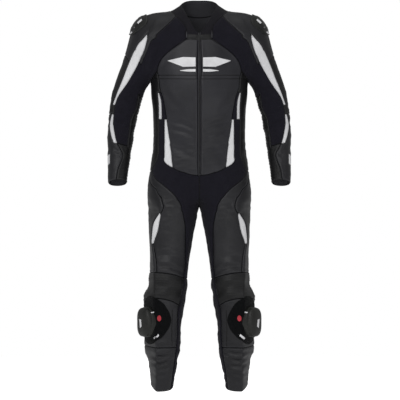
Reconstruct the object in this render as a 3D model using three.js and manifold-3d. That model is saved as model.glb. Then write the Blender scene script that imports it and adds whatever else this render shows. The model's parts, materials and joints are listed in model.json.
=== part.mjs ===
import * as THREE from "three";
import Module from "manifold-3d";
import { mergeVertices } from "three/addons/utils/BufferGeometryUtils.js";

// One-piece leather race suit, filled out as if worn. Millimetres, +Z up, the chest faces -Y.
// The origin is between the shoulders, where the wearer carries the suit.

const WALL = 2;
const SEAM_GAP = 0.34;
const LAY_GAP = 0.35;
const TAB_THICK = 1.6;
const PATCH_THICK = 1.6;
const CUP_THICK = 4;
const ZIP_HALF = 5;
const DENSE = 240;
const HALF_COLUMNS = 18;
const SLEEVE_COLUMNS = 24;
const COLLAR_ROWS = 4;

// Outline of the body: half width, front and back depth at each height

const BODY = [
  { z: 20, half: 150, front: 78, back: 88, square: 2.3 },
  { z: -72, half: 176, front: 97, back: 112, square: 2.4 },
  { z: -150, half: 184, front: 116, back: 122, square: 2.5 },
  { z: -229, half: 180, front: 126, back: 124, square: 2.6 },
  { z: -283, half: 179, front: 125, back: 116, square: 2.5 },
  { z: -330, half: 173, front: 121, back: 105, square: 2.4 },
  { z: -417, half: 170, front: 112, back: 95, square: 2.4 },
  { z: -470, half: 171, front: 108, back: 99, square: 2.4 },
  { z: -515, half: 177, front: 109, back: 110, square: 2.4 },
  { z: -556, half: 182, front: 112, back: 122, square: 2.4 },
  { z: -605, half: 189, front: 110, back: 127, square: 2.3 },
  { z: -650, half: 194, front: 105, back: 124, square: 2.3 },
  { z: -692, half: 194, front: 102, back: 112, square: 2.3 },
];

// Rows of the body from under the arm to the crotch: height at the centre and at the side

const BODY_ROWS = [
  { centre: -190, side: -229 },
  { centre: -222, side: -251 },
  { centre: -252, side: -270 },
  { centre: -282, side: -297 },
  { centre: -311, side: -322 },
  { centre: -340, side: -345 },
  { centre: -371, side: -371 },
  { centre: -398, side: -392 },
  { centre: -425, side: -414 },
  { centre: -452, side: -436 },
  { centre: -479, side: -459 },
  { centre: -504, side: -482 },
  { centre: -529, side: -499 },
  { centre: -554, side: -513 },
  { centre: -579, side: -528 },
  { centre: -604, side: -562 },
  { centre: -628, side: -596 },
  { centre: -650, side: -628 },
  { centre: -671, side: -660 },
  { centre: -692, side: -692 },
];
const CROTCH_FROM = -585;
const CROTCH_Z = -692;

// Trouser leg, left: inner and outer edge, centre and depth, start angle of the inseam,
// dip of the row towards the inseam, lean of the row, swell of the folds

const LEG_ROWS = [
  { z: -692, inner: 0, outer: 194, mid: 6, deep: 103, turn: 0, dip: 0, lean: 0, swell: 0 },
  { z: -720, inner: 7, outer: 192, mid: 2, deep: 100, turn: 12, dip: 0, lean: 0, swell: 0 },
  { z: -748, inner: 12, outer: 190, mid: -2, deep: 96, turn: 22, dip: 0, lean: 0, swell: 1 },
  { z: -776, inner: 18, outer: 190, mid: -5, deep: 93, turn: 30, dip: 0, lean: 0, swell: 0 },
  { z: -804, inner: 23, outer: 189, mid: -8, deep: 91, turn: 35, dip: 0, lean: 0, swell: 0 },
  { z: -832, inner: 28, outer: 187, mid: -12, deep: 89, turn: 38, dip: 3, lean: 0, swell: 0 },
  { z: -860, inner: 34, outer: 186, mid: -16, deep: 86, turn: 40, dip: 8, lean: 0, swell: 0 },
  { z: -888, inner: 39, outer: 185, mid: -20, deep: 84, turn: 40, dip: 14, lean: 0, swell: 0 },
  { z: -914, inner: 42, outer: 186, mid: -24, deep: 81, turn: 40, dip: 20, lean: 0, swell: 0 },
  { z: -938, inner: 45, outer: 187, mid: -27, deep: 79, turn: 40, dip: 24, lean: 0, swell: -1 },
  { z: -962, inner: 47, outer: 188, mid: -30, deep: 78, turn: 40, dip: 28, lean: 0, swell: 4 },
  { z: -986, inner: 50, outer: 190, mid: -33, deep: 77, turn: 40, dip: 34, lean: 0, swell: -2 },
  { z: -1010, inner: 54, outer: 200, mid: -35, deep: 77, turn: 40, dip: 40, lean: 0, swell: 4 },
  { z: -1034, inner: 58, outer: 211, mid: -36, deep: 77, turn: 40, dip: 46, lean: 0, swell: -1 },
  { z: -1064, inner: 62, outer: 203, mid: -36, deep: 76, turn: 40, dip: 40, lean: 0, swell: 2 },
  { z: -1096, inner: 66, outer: 200, mid: -34, deep: 75, turn: 40, dip: 28, lean: 0, swell: 0 },
  { z: -1128, inner: 68, outer: 201, mid: -31, deep: 74, turn: 40, dip: 18, lean: 0, swell: 0 },
  { z: -1160, inner: 69, outer: 202, mid: -26, deep: 73, turn: 40, dip: 10, lean: 0.03, swell: 0 },
  { z: -1188, inner: 70, outer: 206, mid: -19, deep: 71, turn: 40, dip: 5, lean: 0.06, swell: 1 },
  { z: -1212, inner: 71, outer: 206, mid: -12, deep: 69, turn: 40, dip: 0, lean: 0.1, swell: -1 },
  { z: -1236, inner: 75, outer: 203, mid: -5, deep: 66, turn: 40, dip: 0, lean: 0.14, swell: 2 },
  { z: -1262, inner: 80, outer: 195, mid: 2, deep: 62, turn: 40, dip: 0, lean: 0.18, swell: -1 },
  { z: -1290, inner: 85, outer: 189, mid: 8, deep: 58, turn: 40, dip: 0, lean: 0.23, swell: 1 },
  { z: -1318, inner: 91, outer: 185, mid: 14, deep: 54, turn: 40, dip: 0, lean: 0.28, swell: 0 },
  { z: -1343, inner: 96, outer: 183, mid: 19, deep: 50, turn: 40, dip: 0, lean: 0.33, swell: 1 },
  { z: -1366, inner: 98, outer: 183, mid: 23, deep: 47, turn: 40, dip: 0, lean: 0.36, swell: 0 },
];

// Sleeve, left: inner and outer edge of each ring, centre, front and back depth,
// how far the front rides up, turn of the underarm seam, swell of the folds

const SLEEVE_ROWS = [
  { ix: 182, iz: -232, ox: 152, oz: 27, mid: 2, front: 92, back: 88, lean: 0, turn: 0, swell: 0 },
  { ix: 184, iz: -234, ox: 197, oz: 19, mid: 4, front: 86, back: 84, lean: 0, turn: 0, swell: 0 },
  { ix: 186, iz: -236, ox: 229, oz: 2, mid: 6, front: 81, back: 80, lean: 0, turn: 0, swell: 0 },
  { ix: 188, iz: -239, ox: 247, oz: -24, mid: 8, front: 77, back: 77, lean: 0, turn: 0, swell: 0 },
  { ix: 191, iz: -243, ox: 258, oz: -56, mid: 10, front: 73, back: 74, lean: 0, turn: 0, swell: 0 },
  { ix: 194, iz: -248, ox: 267, oz: -92, mid: 12, front: 70, back: 71, lean: 0, turn: 4, swell: 0 },
  { ix: 199, iz: -256, ox: 277, oz: -130, mid: 14, front: 67, back: 69, lean: 0, turn: 10, swell: 0 },
  { ix: 205, iz: -270, ox: 289, oz: -168, mid: 16, front: 65, back: 67, lean: 0, turn: 16, swell: 0 },
  { ix: 212, iz: -290, ox: 303, oz: -206, mid: 18, front: 63, back: 65, lean: 0, turn: 22, swell: 1 },
  { ix: 219, iz: -313, ox: 317, oz: -243, mid: 19, front: 61, back: 62, lean: 0.02, turn: 28, swell: -1 },
  { ix: 227, iz: -338, ox: 325, oz: -279, mid: 18, front: 59, back: 60, lean: 0.05, turn: 32, swell: 2 },
  { ix: 233, iz: -364, ox: 331, oz: -315, mid: 15, front: 58, back: 58, lean: 0.1, turn: 34, swell: -1 },
  { ix: 239, iz: -392, ox: 335, oz: -351, mid: 9, front: 56, back: 56, lean: 0.16, turn: 35, swell: 2 },
  { ix: 244, iz: -421, ox: 338, oz: -388, mid: 1, front: 54, back: 54, lean: 0.22, turn: 35, swell: -2 },
  { ix: 249, iz: -452, ox: 340, oz: -427, mid: -9, front: 51, back: 51, lean: 0.27, turn: 35, swell: 2 },
  { ix: 253, iz: -484, ox: 340, oz: -466, mid: -20, front: 48, back: 48, lean: 0.3, turn: 35, swell: -1 },
  { ix: 258, iz: -517, ox: 340, oz: -505, mid: -31, front: 45, back: 45, lean: 0.32, turn: 35, swell: 1 },
  { ix: 263, iz: -550, ox: 340, oz: -543, mid: -42, front: 42, back: 42, lean: 0.32, turn: 35, swell: -1 },
  { ix: 267, iz: -580, ox: 339, oz: -578, mid: -52, front: 39, back: 39, lean: 0.32, turn: 35, swell: 1 },
  { ix: 269, iz: -606, ox: 338, oz: -607, mid: -60, front: 37, back: 37, lean: 0.32, turn: 35, swell: 0 },
];
const SLEEVE_SQUARE = 2.15;

// How far behind the top of the shoulder the outer column lies on the first rings

const SHOULDER_OVER = [64, 38, 16];
const LEG_SQUARE = 2.2;

// Raglan seam from the centre rows outwards: front first, then back

const FRONT_RAGLAN = [
  { x: 46, z: -72, centre: -72 },
  { x: 84, z: -98, centre: -100 },
  { x: 122, z: -127, centre: -130 },
  { x: 147, z: -158, centre: -160 },
  { x: 157, z: -192, centre: -190 },
];
const BACK_RAGLAN = [
  { x: 62, z: 22, centre: 10 },
  { x: 88, z: -18, centre: -26 },
  { x: 110, z: -54, centre: -60 },
  { x: 130, z: -90, centre: -93 },
  { x: 147, z: -124, centre: -126 },
  { x: 158, z: -158, centre: -158 },
  { x: 166, z: -190, centre: -190 },
];
const ARMPIT = { x: 181, y: 2, z: -229 };
const RAGLAN_COLUMN = 4;
const ARMPIT_COLUMN = 10;
const BACK_COLUMN = 13;

// Neck seam beside the neck, between the front and back corners

const NECK_SIDE = [
  { x: 47, y: -84, z: -28 },
  { x: 84, y: -52, z: 13 },
  { x: 106, y: -4, z: 32 },
  { x: 93, y: 48, z: 32 },
];

// Top edge of the collar, one row for each column from the front centre to the back centre

const COLLAR_TOP = [
  { x: 0, y: -95, z: -50 },
  { x: 5, y: -94, z: -47 },
  { x: 13, y: -92, z: -38 },
  { x: 22, y: -87, z: -24 },
  { x: 32, y: -80, z: -8 },
  { x: 44, y: -64, z: 13 },
  { x: 54, y: -45, z: 32 },
  { x: 62, y: -20, z: 48 },
  { x: 63, y: 6, z: 59 },
  { x: 57, y: 28, z: 68 },
  { x: 47, y: 43, z: 72 },
  { x: 36, y: 52, z: 74 },
  { x: 24, y: 57, z: 75 },
  { x: 12, y: 60, z: 75 },
  { x: 0, y: 61, z: 75 },
];

// Seams seen from the front, left half: distance from the centre at each height

const FRONT_EDGE = [
  { z: -190, x: 156 },
  { z: -250, x: 150 },
  { z: -300, x: 134 },
  { z: -345, x: 126 },
  { z: -371, x: 122 },
  { z: -423, x: 114 },
  { z: -490, x: 103 },
  { z: -551, x: 95 },
  { z: -600, x: 80 },
  { z: -645, x: 48 },
  { z: -692, x: 34 },
];
const FLASH_EDGE = [
  { z: -190, x: 160 },
  { z: -250, x: 154 },
  { z: -300, x: 139 },
  { z: -371, x: 129 },
  { z: -450, x: 130 },
  { z: -528, x: 131 },
  { z: -575, x: 115 },
  { z: -640, x: 62 },
  { z: -692, x: 45 },
];
const STRETCH_EDGE = [
  { z: -190, x: 168 },
  { z: -262, x: 155 },
  { z: -330, x: 151 },
  { z: -500, x: 151 },
  { z: -530, x: 160 },
  { z: -562, x: 176 },
  { z: -596, x: 158 },
  { z: -631, x: 104 },
  { z: -656, x: 82 },
  { z: -692, x: 66 },
  { z: -727, x: 57 },
  { z: -766, x: 50 },
  { z: -844, x: 48 },
  { z: -915, x: 52 },
  { z: -962, x: 58 },
  { z: -1010, x: 69 },
  { z: -1071, x: 79 },
  { z: -1158, x: 80 },
  { z: -1230, x: 86 },
  { z: -1295, x: 97 },
  { z: -1380, x: 108 },
];
const RIB_INSET = 11;
const THIGH_EDGE = [
  { z: -562, x: 180 },
  { z: -600, x: 165 },
  { z: -628, x: 128 },
  { z: -668, x: 124 },
  { z: -692, x: 132 },
  { z: -720, x: 146 },
  { z: -748, x: 148 },
  { z: -776, x: 153 },
  { z: -804, x: 162 },
  { z: -832, x: 171 },
  { z: -870, x: 165 },
  { z: -900, x: 160 },
  { z: -1400, x: 150 },
];
const THIGH_FLASH_EDGE = [
  { z: -600, x: 194 },
  { z: -668, x: 178 },
  { z: -692, x: 160 },
  { z: -720, x: 151 },
  { z: -748, x: 170 },
  { z: -776, x: 176 },
  { z: -804, x: 178 },
  { z: -832, x: 176 },
  { z: -900, x: 172 },
  { z: -1400, x: 164 },
];

// Sleeve seams seen from the front, left: yoke and flash edges, then the inner forearm

const STRETCH_TOP_SEAM = [
  { x: 84, z: 10 },
  { x: 118, z: -20 },
  { x: 151, z: -58 },
  { x: 170, z: -78 },
  { x: 188, z: -103 },
  { x: 204, z: -143 },
  { x: 216, z: -170 },
  { x: 240, z: -210 },
];
const YOKE_SEAM = [
  { x: 84, z: 12 },
  { x: 118, z: -16 },
  { x: 151, z: -54 },
  { x: 168, z: -66 },
  { x: 190, z: -66 },
  { x: 198, z: -92 },
  { x: 204, z: -117 },
  { x: 216, z: -143 },
  { x: 227, z: -170 },
  { x: 261, z: -227 },
  { x: 281, z: -256 },
  { x: 301, z: -285 },
  { x: 312, z: -312 },
  { x: 318, z: -345 },
  { x: 321, z: -383 },
  { x: 317, z: -416 },
  { x: 312, z: -450 },
  { x: 309, z: -468 },
  { x: 286, z: -492 },
  { x: 279, z: -512 },
  { x: 290, z: -536 },
  { x: 306, z: -588 },
  { x: 309, z: -640 },
];
const SLEEVE_FLASH_SEAM = [
  { x: 120, z: 55 },
  { x: 154, z: 18 },
  { x: 194, z: -56 },
  { x: 222, z: -86 },
  { x: 242, z: -119 },
  { x: 256, z: -146 },
  { x: 286, z: -223 },
  { x: 303, z: -266 },
  { x: 317, z: -301 },
  { x: 325, z: -335 },
  { x: 325, z: -354 },
  { x: 332, z: -380 },
  { x: 333, z: -420 },
  { x: 326, z: -448 },
  { x: 318, z: -470 },
  { x: 321, z: -510 },
  { x: 325, z: -640 },
];
const INNER_SEAM = [
  { x: 216, z: -201 },
  { x: 222, z: -250 },
  { x: 229, z: -306 },
  { x: 234, z: -336 },
  { x: 253, z: -368 },
  { x: 259, z: -423 },
  { x: 263, z: -458 },
  { x: 270, z: -512 },
  { x: 272, z: -560 },
  { x: 276, z: -640 },
];
const INNER_FROM = 6;
const STRIP_ROWS = 4;
const CREST = [14, -6];
const SI = 8;
const SA = 12;
const SB = 14;

// Large folds: where they lie, how far they run, how deep they are, and their slope

const FOLDS = [
  { x: 22, z: -640, run: 60, wide: 14, deep: 5, slope: 80 },
  { x: 58, z: -600, run: 50, wide: 15, deep: 4, slope: 55 },
  { x: 110, z: -455, run: 70, wide: 16, deep: 3, slope: 20 },
  { x: 90, z: -395, run: 60, wide: 16, deep: 3, slope: -18 },
  { x: 100, z: -250, run: 55, wide: 18, deep: 3, slope: 40 },
  { x: 105, z: -730, run: 60, wide: 18, deep: 3, slope: -35 },
  { x: 120, z: -880, run: 60, wide: 18, deep: 3, slope: 15 },
  { x: 220, z: -250, run: 50, wide: 15, deep: 4, slope: -30 },
  { x: 262, z: -380, run: 45, wide: 13, deep: 4, slope: 20 },
  { x: 290, z: -470, run: 45, wide: 13, deep: 3, slope: -25 },
];

// Panels of the body grid: rows and columns of cells from the front centre, left half

const BODY_PANELS = [
  { name: "side", rows: [0, 15], columns: [4, 13] },
  { name: "front", rows: [0, 14], columns: [1, 4] },
  { name: "zip", rows: [0, 14], columns: [0, 1] },
  { name: "stretch", rows: [2, 14], columns: [4, 7] },
  { name: "rib_flash", rows: [2, 6], columns: [6, 7] },
  { name: "waist_flash", rows: [6, 14], columns: [4, 5] },
  { name: "back", rows: [0, 15], columns: [13, 18] },
  { name: "stretch", rows: [14, 19], columns: [0, 7] },
  { name: "thigh_front", rows: [15, 19], columns: [7, 9] },
  { name: "thigh_outer", rows: [15, 19], columns: [9, 13] },
  { name: "seat", rows: [15, 19], columns: [13, 18] },
  { name: "side", rows: [14, 15], columns: [7, 13] },
];
const LEG_PANELS = [
  { name: "stretch", rows: [0, 9], columns: [0, 7] },
  { name: "thigh_front", rows: [0, 9], columns: [7, 9] },
  { name: "thigh_outer", rows: [0, 9], columns: [9, 13] },
  { name: "thigh_flash", rows: [1, 5], columns: [9, 10] },
  { name: "seat", rows: [0, 9], columns: [13, 18] },
  { name: "over_knee", rows: [9, 13], columns: [7, 13] },
  { name: "knee", rows: [13, 19], columns: [7, 13] },
  { name: "shin", rows: [19, 25], columns: [7, 13] },
  { name: "calf_inner", rows: [9, 25], columns: [0, 7] },
  { name: "calf", rows: [9, 25], columns: [13, 18] },
];
const SLEEVE_PANELS = [
  { name: "sleeve_stretch", rows: [0, 16], columns: [0, 12] },
  { name: "inner_forearm", rows: [9, 20], columns: [0, 8] },
  { name: "inner_forearm", rows: [16, 20], columns: [8, 12] },
  { name: "yoke", rows: [0, 7], columns: [12, 16] },
  { name: "shoulder_panel", rows: [0, 7], columns: [16, 24] },
  { name: "upper_sleeve", rows: [7, 13], columns: [16, 24] },
  { name: "upper_sleeve", rows: [7, 13], columns: [12, 16] },
  { name: "yoke", rows: [1, 5], columns: [11, 12] },
  { name: "arm_flash", rows: [2, 12], columns: [12, 14] },
  { name: "elbow_flash", rows: [13, 16], columns: [12, 14] },
  { name: "forearm_front", rows: [13, 20], columns: [14, 19] },
  { name: "forearm_front", rows: [16, 20], columns: [12, 14] },
  { name: "forearm_back", rows: [13, 20], columns: [19, 24] },
  { name: "forearm_flash", rows: [17, 18], columns: [15, 17] },
];

// Pieces laid on the cloth

const PATCH = { x: 184, y: -69, z: -1116, wide: 75, tall: 88, aim: 42 };
const SLIDER = { x: 190, y: -78, z: -1124, wide: 41, tall: 56, thick: 27, aim: 52 };
const CUP = { x: 234, y: 6, z: -13, wide: 62, tall: 50, aim: 90, up: 40 };
const TAB = { half: 44, low: -72.5, high: -53 };

const COLOURS = {
  leather: { colour: 0x323236, rough: 0.45 },
  side_leather: { colour: 0x222221, rough: 0.5 },
  stretch: { colour: 0x201f27, rough: 0.85 },
  white: { colour: 0xe8e8eb, rough: 0.45 },
  collar: { colour: 0x232226, rough: 0.8 },
  zip: { colour: 0x141416, rough: 0.6 },
  plastic: { colour: 0x2c2d2a, rough: 0.35 },
  patch: { colour: 0x141618, rough: 0.9 },
};
const FINISH = {
  front: "leather",
  yoke: "leather",
  thigh_front: "leather",
  thigh_outer: "leather",
  knee: "leather",
  shin: "leather",
  over_knee: "leather",
  forearm_front: "leather",
  side: "side_leather",
  back: "side_leather",
  seat: "side_leather",
  calf: "side_leather",
  shoulder_panel: "side_leather",
  upper_sleeve: "side_leather",
  inner_forearm: "side_leather",
  forearm_back: "side_leather",
  stretch: "stretch",
  sleeve_stretch: "stretch",
  calf_inner: "stretch",
  waist_flash: "white",
  rib_flash: "white",
  thigh_flash: "white",
  arm_flash: "white",
  elbow_flash: "white",
  forearm_flash: "white",
  collar: "collar",
  collar_tab: "leather",
  zip: "zip",
  shoulder_cup: "plastic",
  knee_slider: "plastic",
  knee_patch: "patch",
};

const wasm = await Module();
wasm.setup();

// Tables

function tableAt(rows, key, value, field) {
  const step = Math.sign(rows[1][key] - rows[0][key]);
  if ((value - rows[0][key]) * step <= 0) return rows[0][field];
  for (let i = 1; i < rows.length; i += 1) {
    if ((value - rows[i][key]) * step <= 0) {
      const share = (value - rows[i - 1][key]) / (rows[i][key] - rows[i - 1][key]);
      return rows[i - 1][field] + share * (rows[i][field] - rows[i - 1][field]);
    }
  }
  return rows[rows.length - 1][field];
}

function clamp(value, low, high) {
  return Math.min(high, Math.max(low, value));
}

function power(value, square) {
  return Math.sign(value) * Math.pow(Math.abs(value), 2 / square);
}

function mix(a, b, share) {
  return a + (b - a) * share;
}

// Depth of the body under a point of the chest or back

function chestPoint(x, z, side) {
  const half = tableAt(BODY, "z", z, "half");
  const depth = tableAt(BODY, "z", z, side < 0 ? "front" : "back");
  const square = tableAt(BODY, "z", z, "square");
  const share = Math.pow(clamp(1 - Math.pow(Math.abs(x) / half, square), 0, 1), 1 / square);
  return new THREE.Vector3(x, side * depth * share, z);
}

// A closed or open row of many points, with its running length

function measured(points) {
  const along = [0];
  for (let i = 1; i < points.length; i += 1) {
    along.push(along[i - 1] + points[i].distanceTo(points[i - 1]));
  }
  return { points, along, total: along[along.length - 1] };
}

function pointAt(row, length) {
  const goal = clamp(length, 0, row.total);
  let i = 1;
  while (i < row.points.length - 1 && row.along[i] < goal) i += 1;
  const gap = row.along[i] - row.along[i - 1];
  const share = gap > 0 ? (goal - row.along[i - 1]) / gap : 0;
  return row.points[i - 1].clone().lerp(row.points[i], share);
}

// Length along the row where the front of it passes x, going outwards

function crossing(row, x) {
  let first = 0;
  for (let i = 0; i < row.points.length / 3; i += 1) {
    if (row.points[i].x < row.points[first].x) first = i;
  }
  for (let i = first + 1; i < row.points.length; i += 1) {
    if (row.points[i].x >= x) {
      const gap = row.points[i].x - row.points[i - 1].x;
      const share = gap > 0 ? clamp((x - row.points[i - 1].x) / gap, 0, 1) : 0;
      return mix(row.along[i - 1], row.along[i], share);
    }
    if (row.points[i].x < row.points[i - 1].x - 0.2) return row.along[i - 1];
  }
  return row.total;
}

// Columns between the keyed ones are spread evenly, or as the shares say

function spread(row, keys, count, shares) {
  const made = [];
  for (let k = 1; k < keys.length; k += 1) {
    const from = keys[k - 1];
    const to = keys[k];
    for (let column = from.column; column < to.column; column += 1) {
      const even = (column - from.column) / (to.column - from.column);
      const share = shares ? shares(from.column, to.column, column, even) : even;
      made[column] = pointAt(row, mix(from.at, to.at, share));
    }
  }
  made[count] = pointAt(row, keys[keys.length - 1].at);
  return made;
}

// Body rows

// The share of the turn is slower over the middle of the front and back, as round a leg

function halfTurn(share) {
  if (share < 0.25) return share * 0.6;
  if (share > 0.75) return 1 - (1 - share) * 0.6;
  return 0.15 + (share - 0.25) * 1.4;
}

function bodyHalfRow(centre, side) {
  const half = tableAt(BODY, "z", side, "half");
  const front = tableAt(BODY, "z", centre, "front");
  const back = tableAt(BODY, "z", centre, "back");
  const square = tableAt(BODY, "z", centre, "square");
  const points = [];
  for (let i = 0; i <= DENSE; i += 1) {
    const turn = Math.PI * halfTurn(i / DENSE);
    const x = half * power(Math.sin(turn), square);
    const y = -(turn < Math.PI / 2 ? front : back) * power(Math.cos(turn), square);
    points.push(new THREE.Vector3(i % DENSE === 0 ? 0 : x, y, centre));
  }
  return points;
}

function legRow(row) {
  const points = [];
  const mid = (row.inner + row.outer) / 2;
  const half = (row.outer - row.inner) / 2 + row.swell;
  const deep = row.deep + row.swell;
  for (let i = 0; i <= DENSE; i += 1) {
    const turn = (Math.PI * 2 * i) / DENSE - THREE.MathUtils.degToRad(row.turn);
    const x = mid - half * power(Math.cos(turn), LEG_SQUARE);
    const y = row.mid - deep * power(Math.sin(turn), LEG_SQUARE);
    const inwards = clamp((150 - x) / 100, 0, 1);
    const z = row.z - row.dip * inwards * inwards + row.lean * (y - row.mid);
    points.push(new THREE.Vector3(x, y, z));
  }
  return points;
}

function ordered(keys, total, least) {
  for (let k = 1; k < keys.length; k += 1) {
    const gap = least * (keys[k].column - keys[k - 1].column);
    keys[k].at = Math.max(keys[k].at, keys[k - 1].at + gap);
  }
  for (let k = keys.length - 2; k >= 0; k -= 1) {
    const gap = least * (keys[k + 1].column - keys[k].column);
    keys[k].at = Math.min(keys[k].at, keys[k + 1].at - gap);
  }
  return keys;
}

function bodyRow(index) {
  const { centre, side } = BODY_ROWS[index];
  let points = bodyHalfRow(centre, side);
  if (centre < CROTCH_FROM) {
    const down = (CROTCH_FROM - centre) / (CROTCH_FROM - CROTCH_Z);
    const blend = 1 - Math.pow(1 - Math.pow(down, 2.4), 1 / 2.4);
    const leg = legRow(LEG_ROWS[0]);
    points = points.map((point, i) => {
      const mixed = point.clone().lerp(leg[i], blend);
      mixed.x = i % DENSE === 0 ? 0 : Math.max(mixed.x, 0);
      mixed.z = centre;
      return mixed;
    });
  }
  const row = measured(points);
  const sideAt = crossing(row, 400);
  const keys = [
    { column: 0, at: 0 },
    { column: 4, at: crossing(row, tableAt(FRONT_EDGE, "z", side, "x")) },
    { column: 5, at: crossing(row, tableAt(FLASH_EDGE, "z", side, "x")) },
    { column: 6, at: crossing(row, tableAt(STRETCH_EDGE, "z", side, "x") - RIB_INSET) },
    { column: 7, at: crossing(row, tableAt(STRETCH_EDGE, "z", side, "x")) },
    { column: HALF_COLUMNS, at: row.total },
  ];
  if (index <= 14) keys.splice(1, 0, { column: 1, at: ZIP_HALF });
  if (index >= 15) {
    const low = clamp((index - 15) / 4, 0, 1);
    const edge = crossing(row, tableAt(THIGH_EDGE, "z", side, "x"));
    const even = mix(keys[keys.length - 2].at, sideAt, 0.66);
    keys.splice(keys.length - 1, 0, { column: 9, at: mix(even, edge, low) });
    const flash = crossing(row, tableAt(THIGH_FLASH_EDGE, "z", side, "x"));
    keys.splice(keys.length - 1, 0, { column: 10, at: mix(sideAt, flash, low) });
    keys.splice(keys.length - 1, 0, { column: 11, at: sideAt + 6 });
  } else {
    keys.splice(keys.length - 1, 0, { column: ARMPIT_COLUMN, at: sideAt });
  }
  const made = spread(row, ordered(keys, row.total, 4), HALF_COLUMNS);
  made.forEach((point, column) => {
    const out = clamp(Math.pow(Math.abs(point.x) / 130, 2), 0, 1);
    point.z = mix(centre, side, out);
    if (column === 0 || column === HALF_COLUMNS) point.x = 0;
  });
  return made;
}

function legPoints(index) {
  const table = LEG_ROWS[index];
  const row = measured(legRow(table));
  const sideAt = crossing(row, 400);
  const stretch = crossing(row, tableAt(STRETCH_EDGE, "z", table.z, "x"));
  const keys = [
    { column: 0, at: 0 },
    { column: 7, at: stretch },
    { column: 9, at: crossing(row, tableAt(THIGH_EDGE, "z", table.z, "x")) },
    { column: 10, at: crossing(row, tableAt(THIGH_FLASH_EDGE, "z", table.z, "x")) },
    { column: 11, at: sideAt + 6 },
    { column: HALF_COLUMNS, at: row.total },
  ];
  if (index === 0) {
    keys.splice(1, 0, { column: 4, at: crossing(row, tableAt(FRONT_EDGE, "z", table.z, "x")) });
  }
  const made = spread(row, ordered(keys, row.total, 4), HALF_COLUMNS);
  made[HALF_COLUMNS] = made[0].clone();
  return made;
}

// Raglan seam row under the arm, then the front and back above it

function underarmRow() {
  const low = FRONT_RAGLAN[FRONT_RAGLAN.length - 1];
  const high = BACK_RAGLAN[BACK_RAGLAN.length - 1];
  const row = [];
  for (let column = 0; column <= HALF_COLUMNS; column += 1) {
    if (column === 1) {
      row.push(chestPoint(ZIP_HALF, low.centre, -1));
    } else if (column <= RAGLAN_COLUMN) {
      const share = column / RAGLAN_COLUMN;
      row.push(chestPoint(low.x * share, mix(low.centre, low.z, share * share), -1));
    } else if (column <= ARMPIT_COLUMN) {
      const start = chestPoint(low.x, low.z, -1);
      const end = new THREE.Vector3(ARMPIT.x, ARMPIT.y, ARMPIT.z);
      const share = (column - RAGLAN_COLUMN) / (ARMPIT_COLUMN - RAGLAN_COLUMN);
      const point = start.lerp(end, share);
      point.x += 7 * Math.sin(Math.PI * share);
      point.z -= 9 * Math.sin(Math.PI * share);
      row.push(point);
    } else if (column <= BACK_COLUMN) {
      const start = new THREE.Vector3(ARMPIT.x, ARMPIT.y, ARMPIT.z);
      const end = chestPoint(high.x, high.z, 1);
      const share = (column - ARMPIT_COLUMN) / (BACK_COLUMN - ARMPIT_COLUMN);
      const point = start.lerp(end, share);
      point.x += 5 * Math.sin(Math.PI * share);
      point.z -= 8 * Math.sin(Math.PI * share);
      row.push(point);
    } else {
      const share = (HALF_COLUMNS - column) / (HALF_COLUMNS - BACK_COLUMN);
      row.push(chestPoint(high.x * share, mix(high.centre, high.z, share * share), 1));
    }
  }
  return row;
}

function upperRows(table, columns, side) {
  return table.map((edge) => {
    const row = [];
    for (let column = 0; column <= columns; column += 1) {
      const share = side < 0 ? column / columns : 1 - column / columns;
      const x = side < 0 && column === 1 ? ZIP_HALF : edge.x * share;
      row.push(chestPoint(x, mix(edge.centre, edge.z, share * share), side));
    }
    return row;
  });
}

const underarm = underarmRow();
const chestRows = upperRows(FRONT_RAGLAN, RAGLAN_COLUMN, -1);
const shoulderRows = upperRows(BACK_RAGLAN, HALF_COLUMNS - BACK_COLUMN, 1);
chestRows[chestRows.length - 1] = underarm.slice(0, RAGLAN_COLUMN + 1);
shoulderRows[shoulderRows.length - 1] = underarm.slice(BACK_COLUMN);
const bodyRows = BODY_ROWS.map((row, index) => (index === 0 ? underarm : bodyRow(index)));
const crotchRow = bodyRows[bodyRows.length - 1];
const legRows = LEG_ROWS.map((row, index) => (index === 0 ? crotchRow : legPoints(index)));

// Sleeve rings start at the raglan seam and close under the arm

const sleeveLoop = [
  ...underarm.slice(RAGLAN_COLUMN, ARMPIT_COLUMN + 1).reverse(),
  ...chestRows.slice(0, -1).reverse().map((row) => row[RAGLAN_COLUMN]),
  ...NECK_SIDE.map((point) => new THREE.Vector3(point.x, point.y, point.z)),
  ...shoulderRows.slice(0, -1).map((row) => row[0]),
  ...underarm.slice(ARMPIT_COLUMN, BACK_COLUMN + 1).reverse(),
];

function seamShare(seam, ring) {
  const dx = ring.ox - ring.ix;
  const dz = ring.oz - ring.iz;
  for (let i = 1; i < seam.length; i += 1) {
    const ex = seam[i].x - seam[i - 1].x;
    const ez = seam[i].z - seam[i - 1].z;
    const det = dx * ez - dz * ex;
    const px = seam[i - 1].x - ring.ix;
    const pz = seam[i - 1].z - ring.iz;
    const along = (px * ez - pz * ex) / det;
    const part = (px * dz - pz * dx) / det;
    if (part >= -0.001 && part <= 1.001 && along > 0 && along < 1) return along;
  }
  return 0.97;
}

function sleeveRing(ring) {
  const points = [];
  const length = Math.hypot(ring.ox - ring.ix, ring.oz - ring.iz);
  const grow = ring.swell / length;
  for (let i = 0; i <= DENSE; i += 1) {
    const turn = (Math.PI * 2 * i) / DENSE - THREE.MathUtils.degToRad(ring.turn);
    const share = 0.5 - (0.5 + grow) * power(Math.cos(turn), SLEEVE_SQUARE);
    const forward = power(Math.sin(turn), SLEEVE_SQUARE);
    const depth = (forward > 0 ? ring.front : ring.back) + ring.swell;
    const x = mix(ring.ix, ring.ox, share);
    const z = mix(ring.iz, ring.oz, share) + ring.lean * forward * depth;
    points.push(new THREE.Vector3(x, ring.mid - forward * depth, z));
  }
  return measured(points);
}

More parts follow.
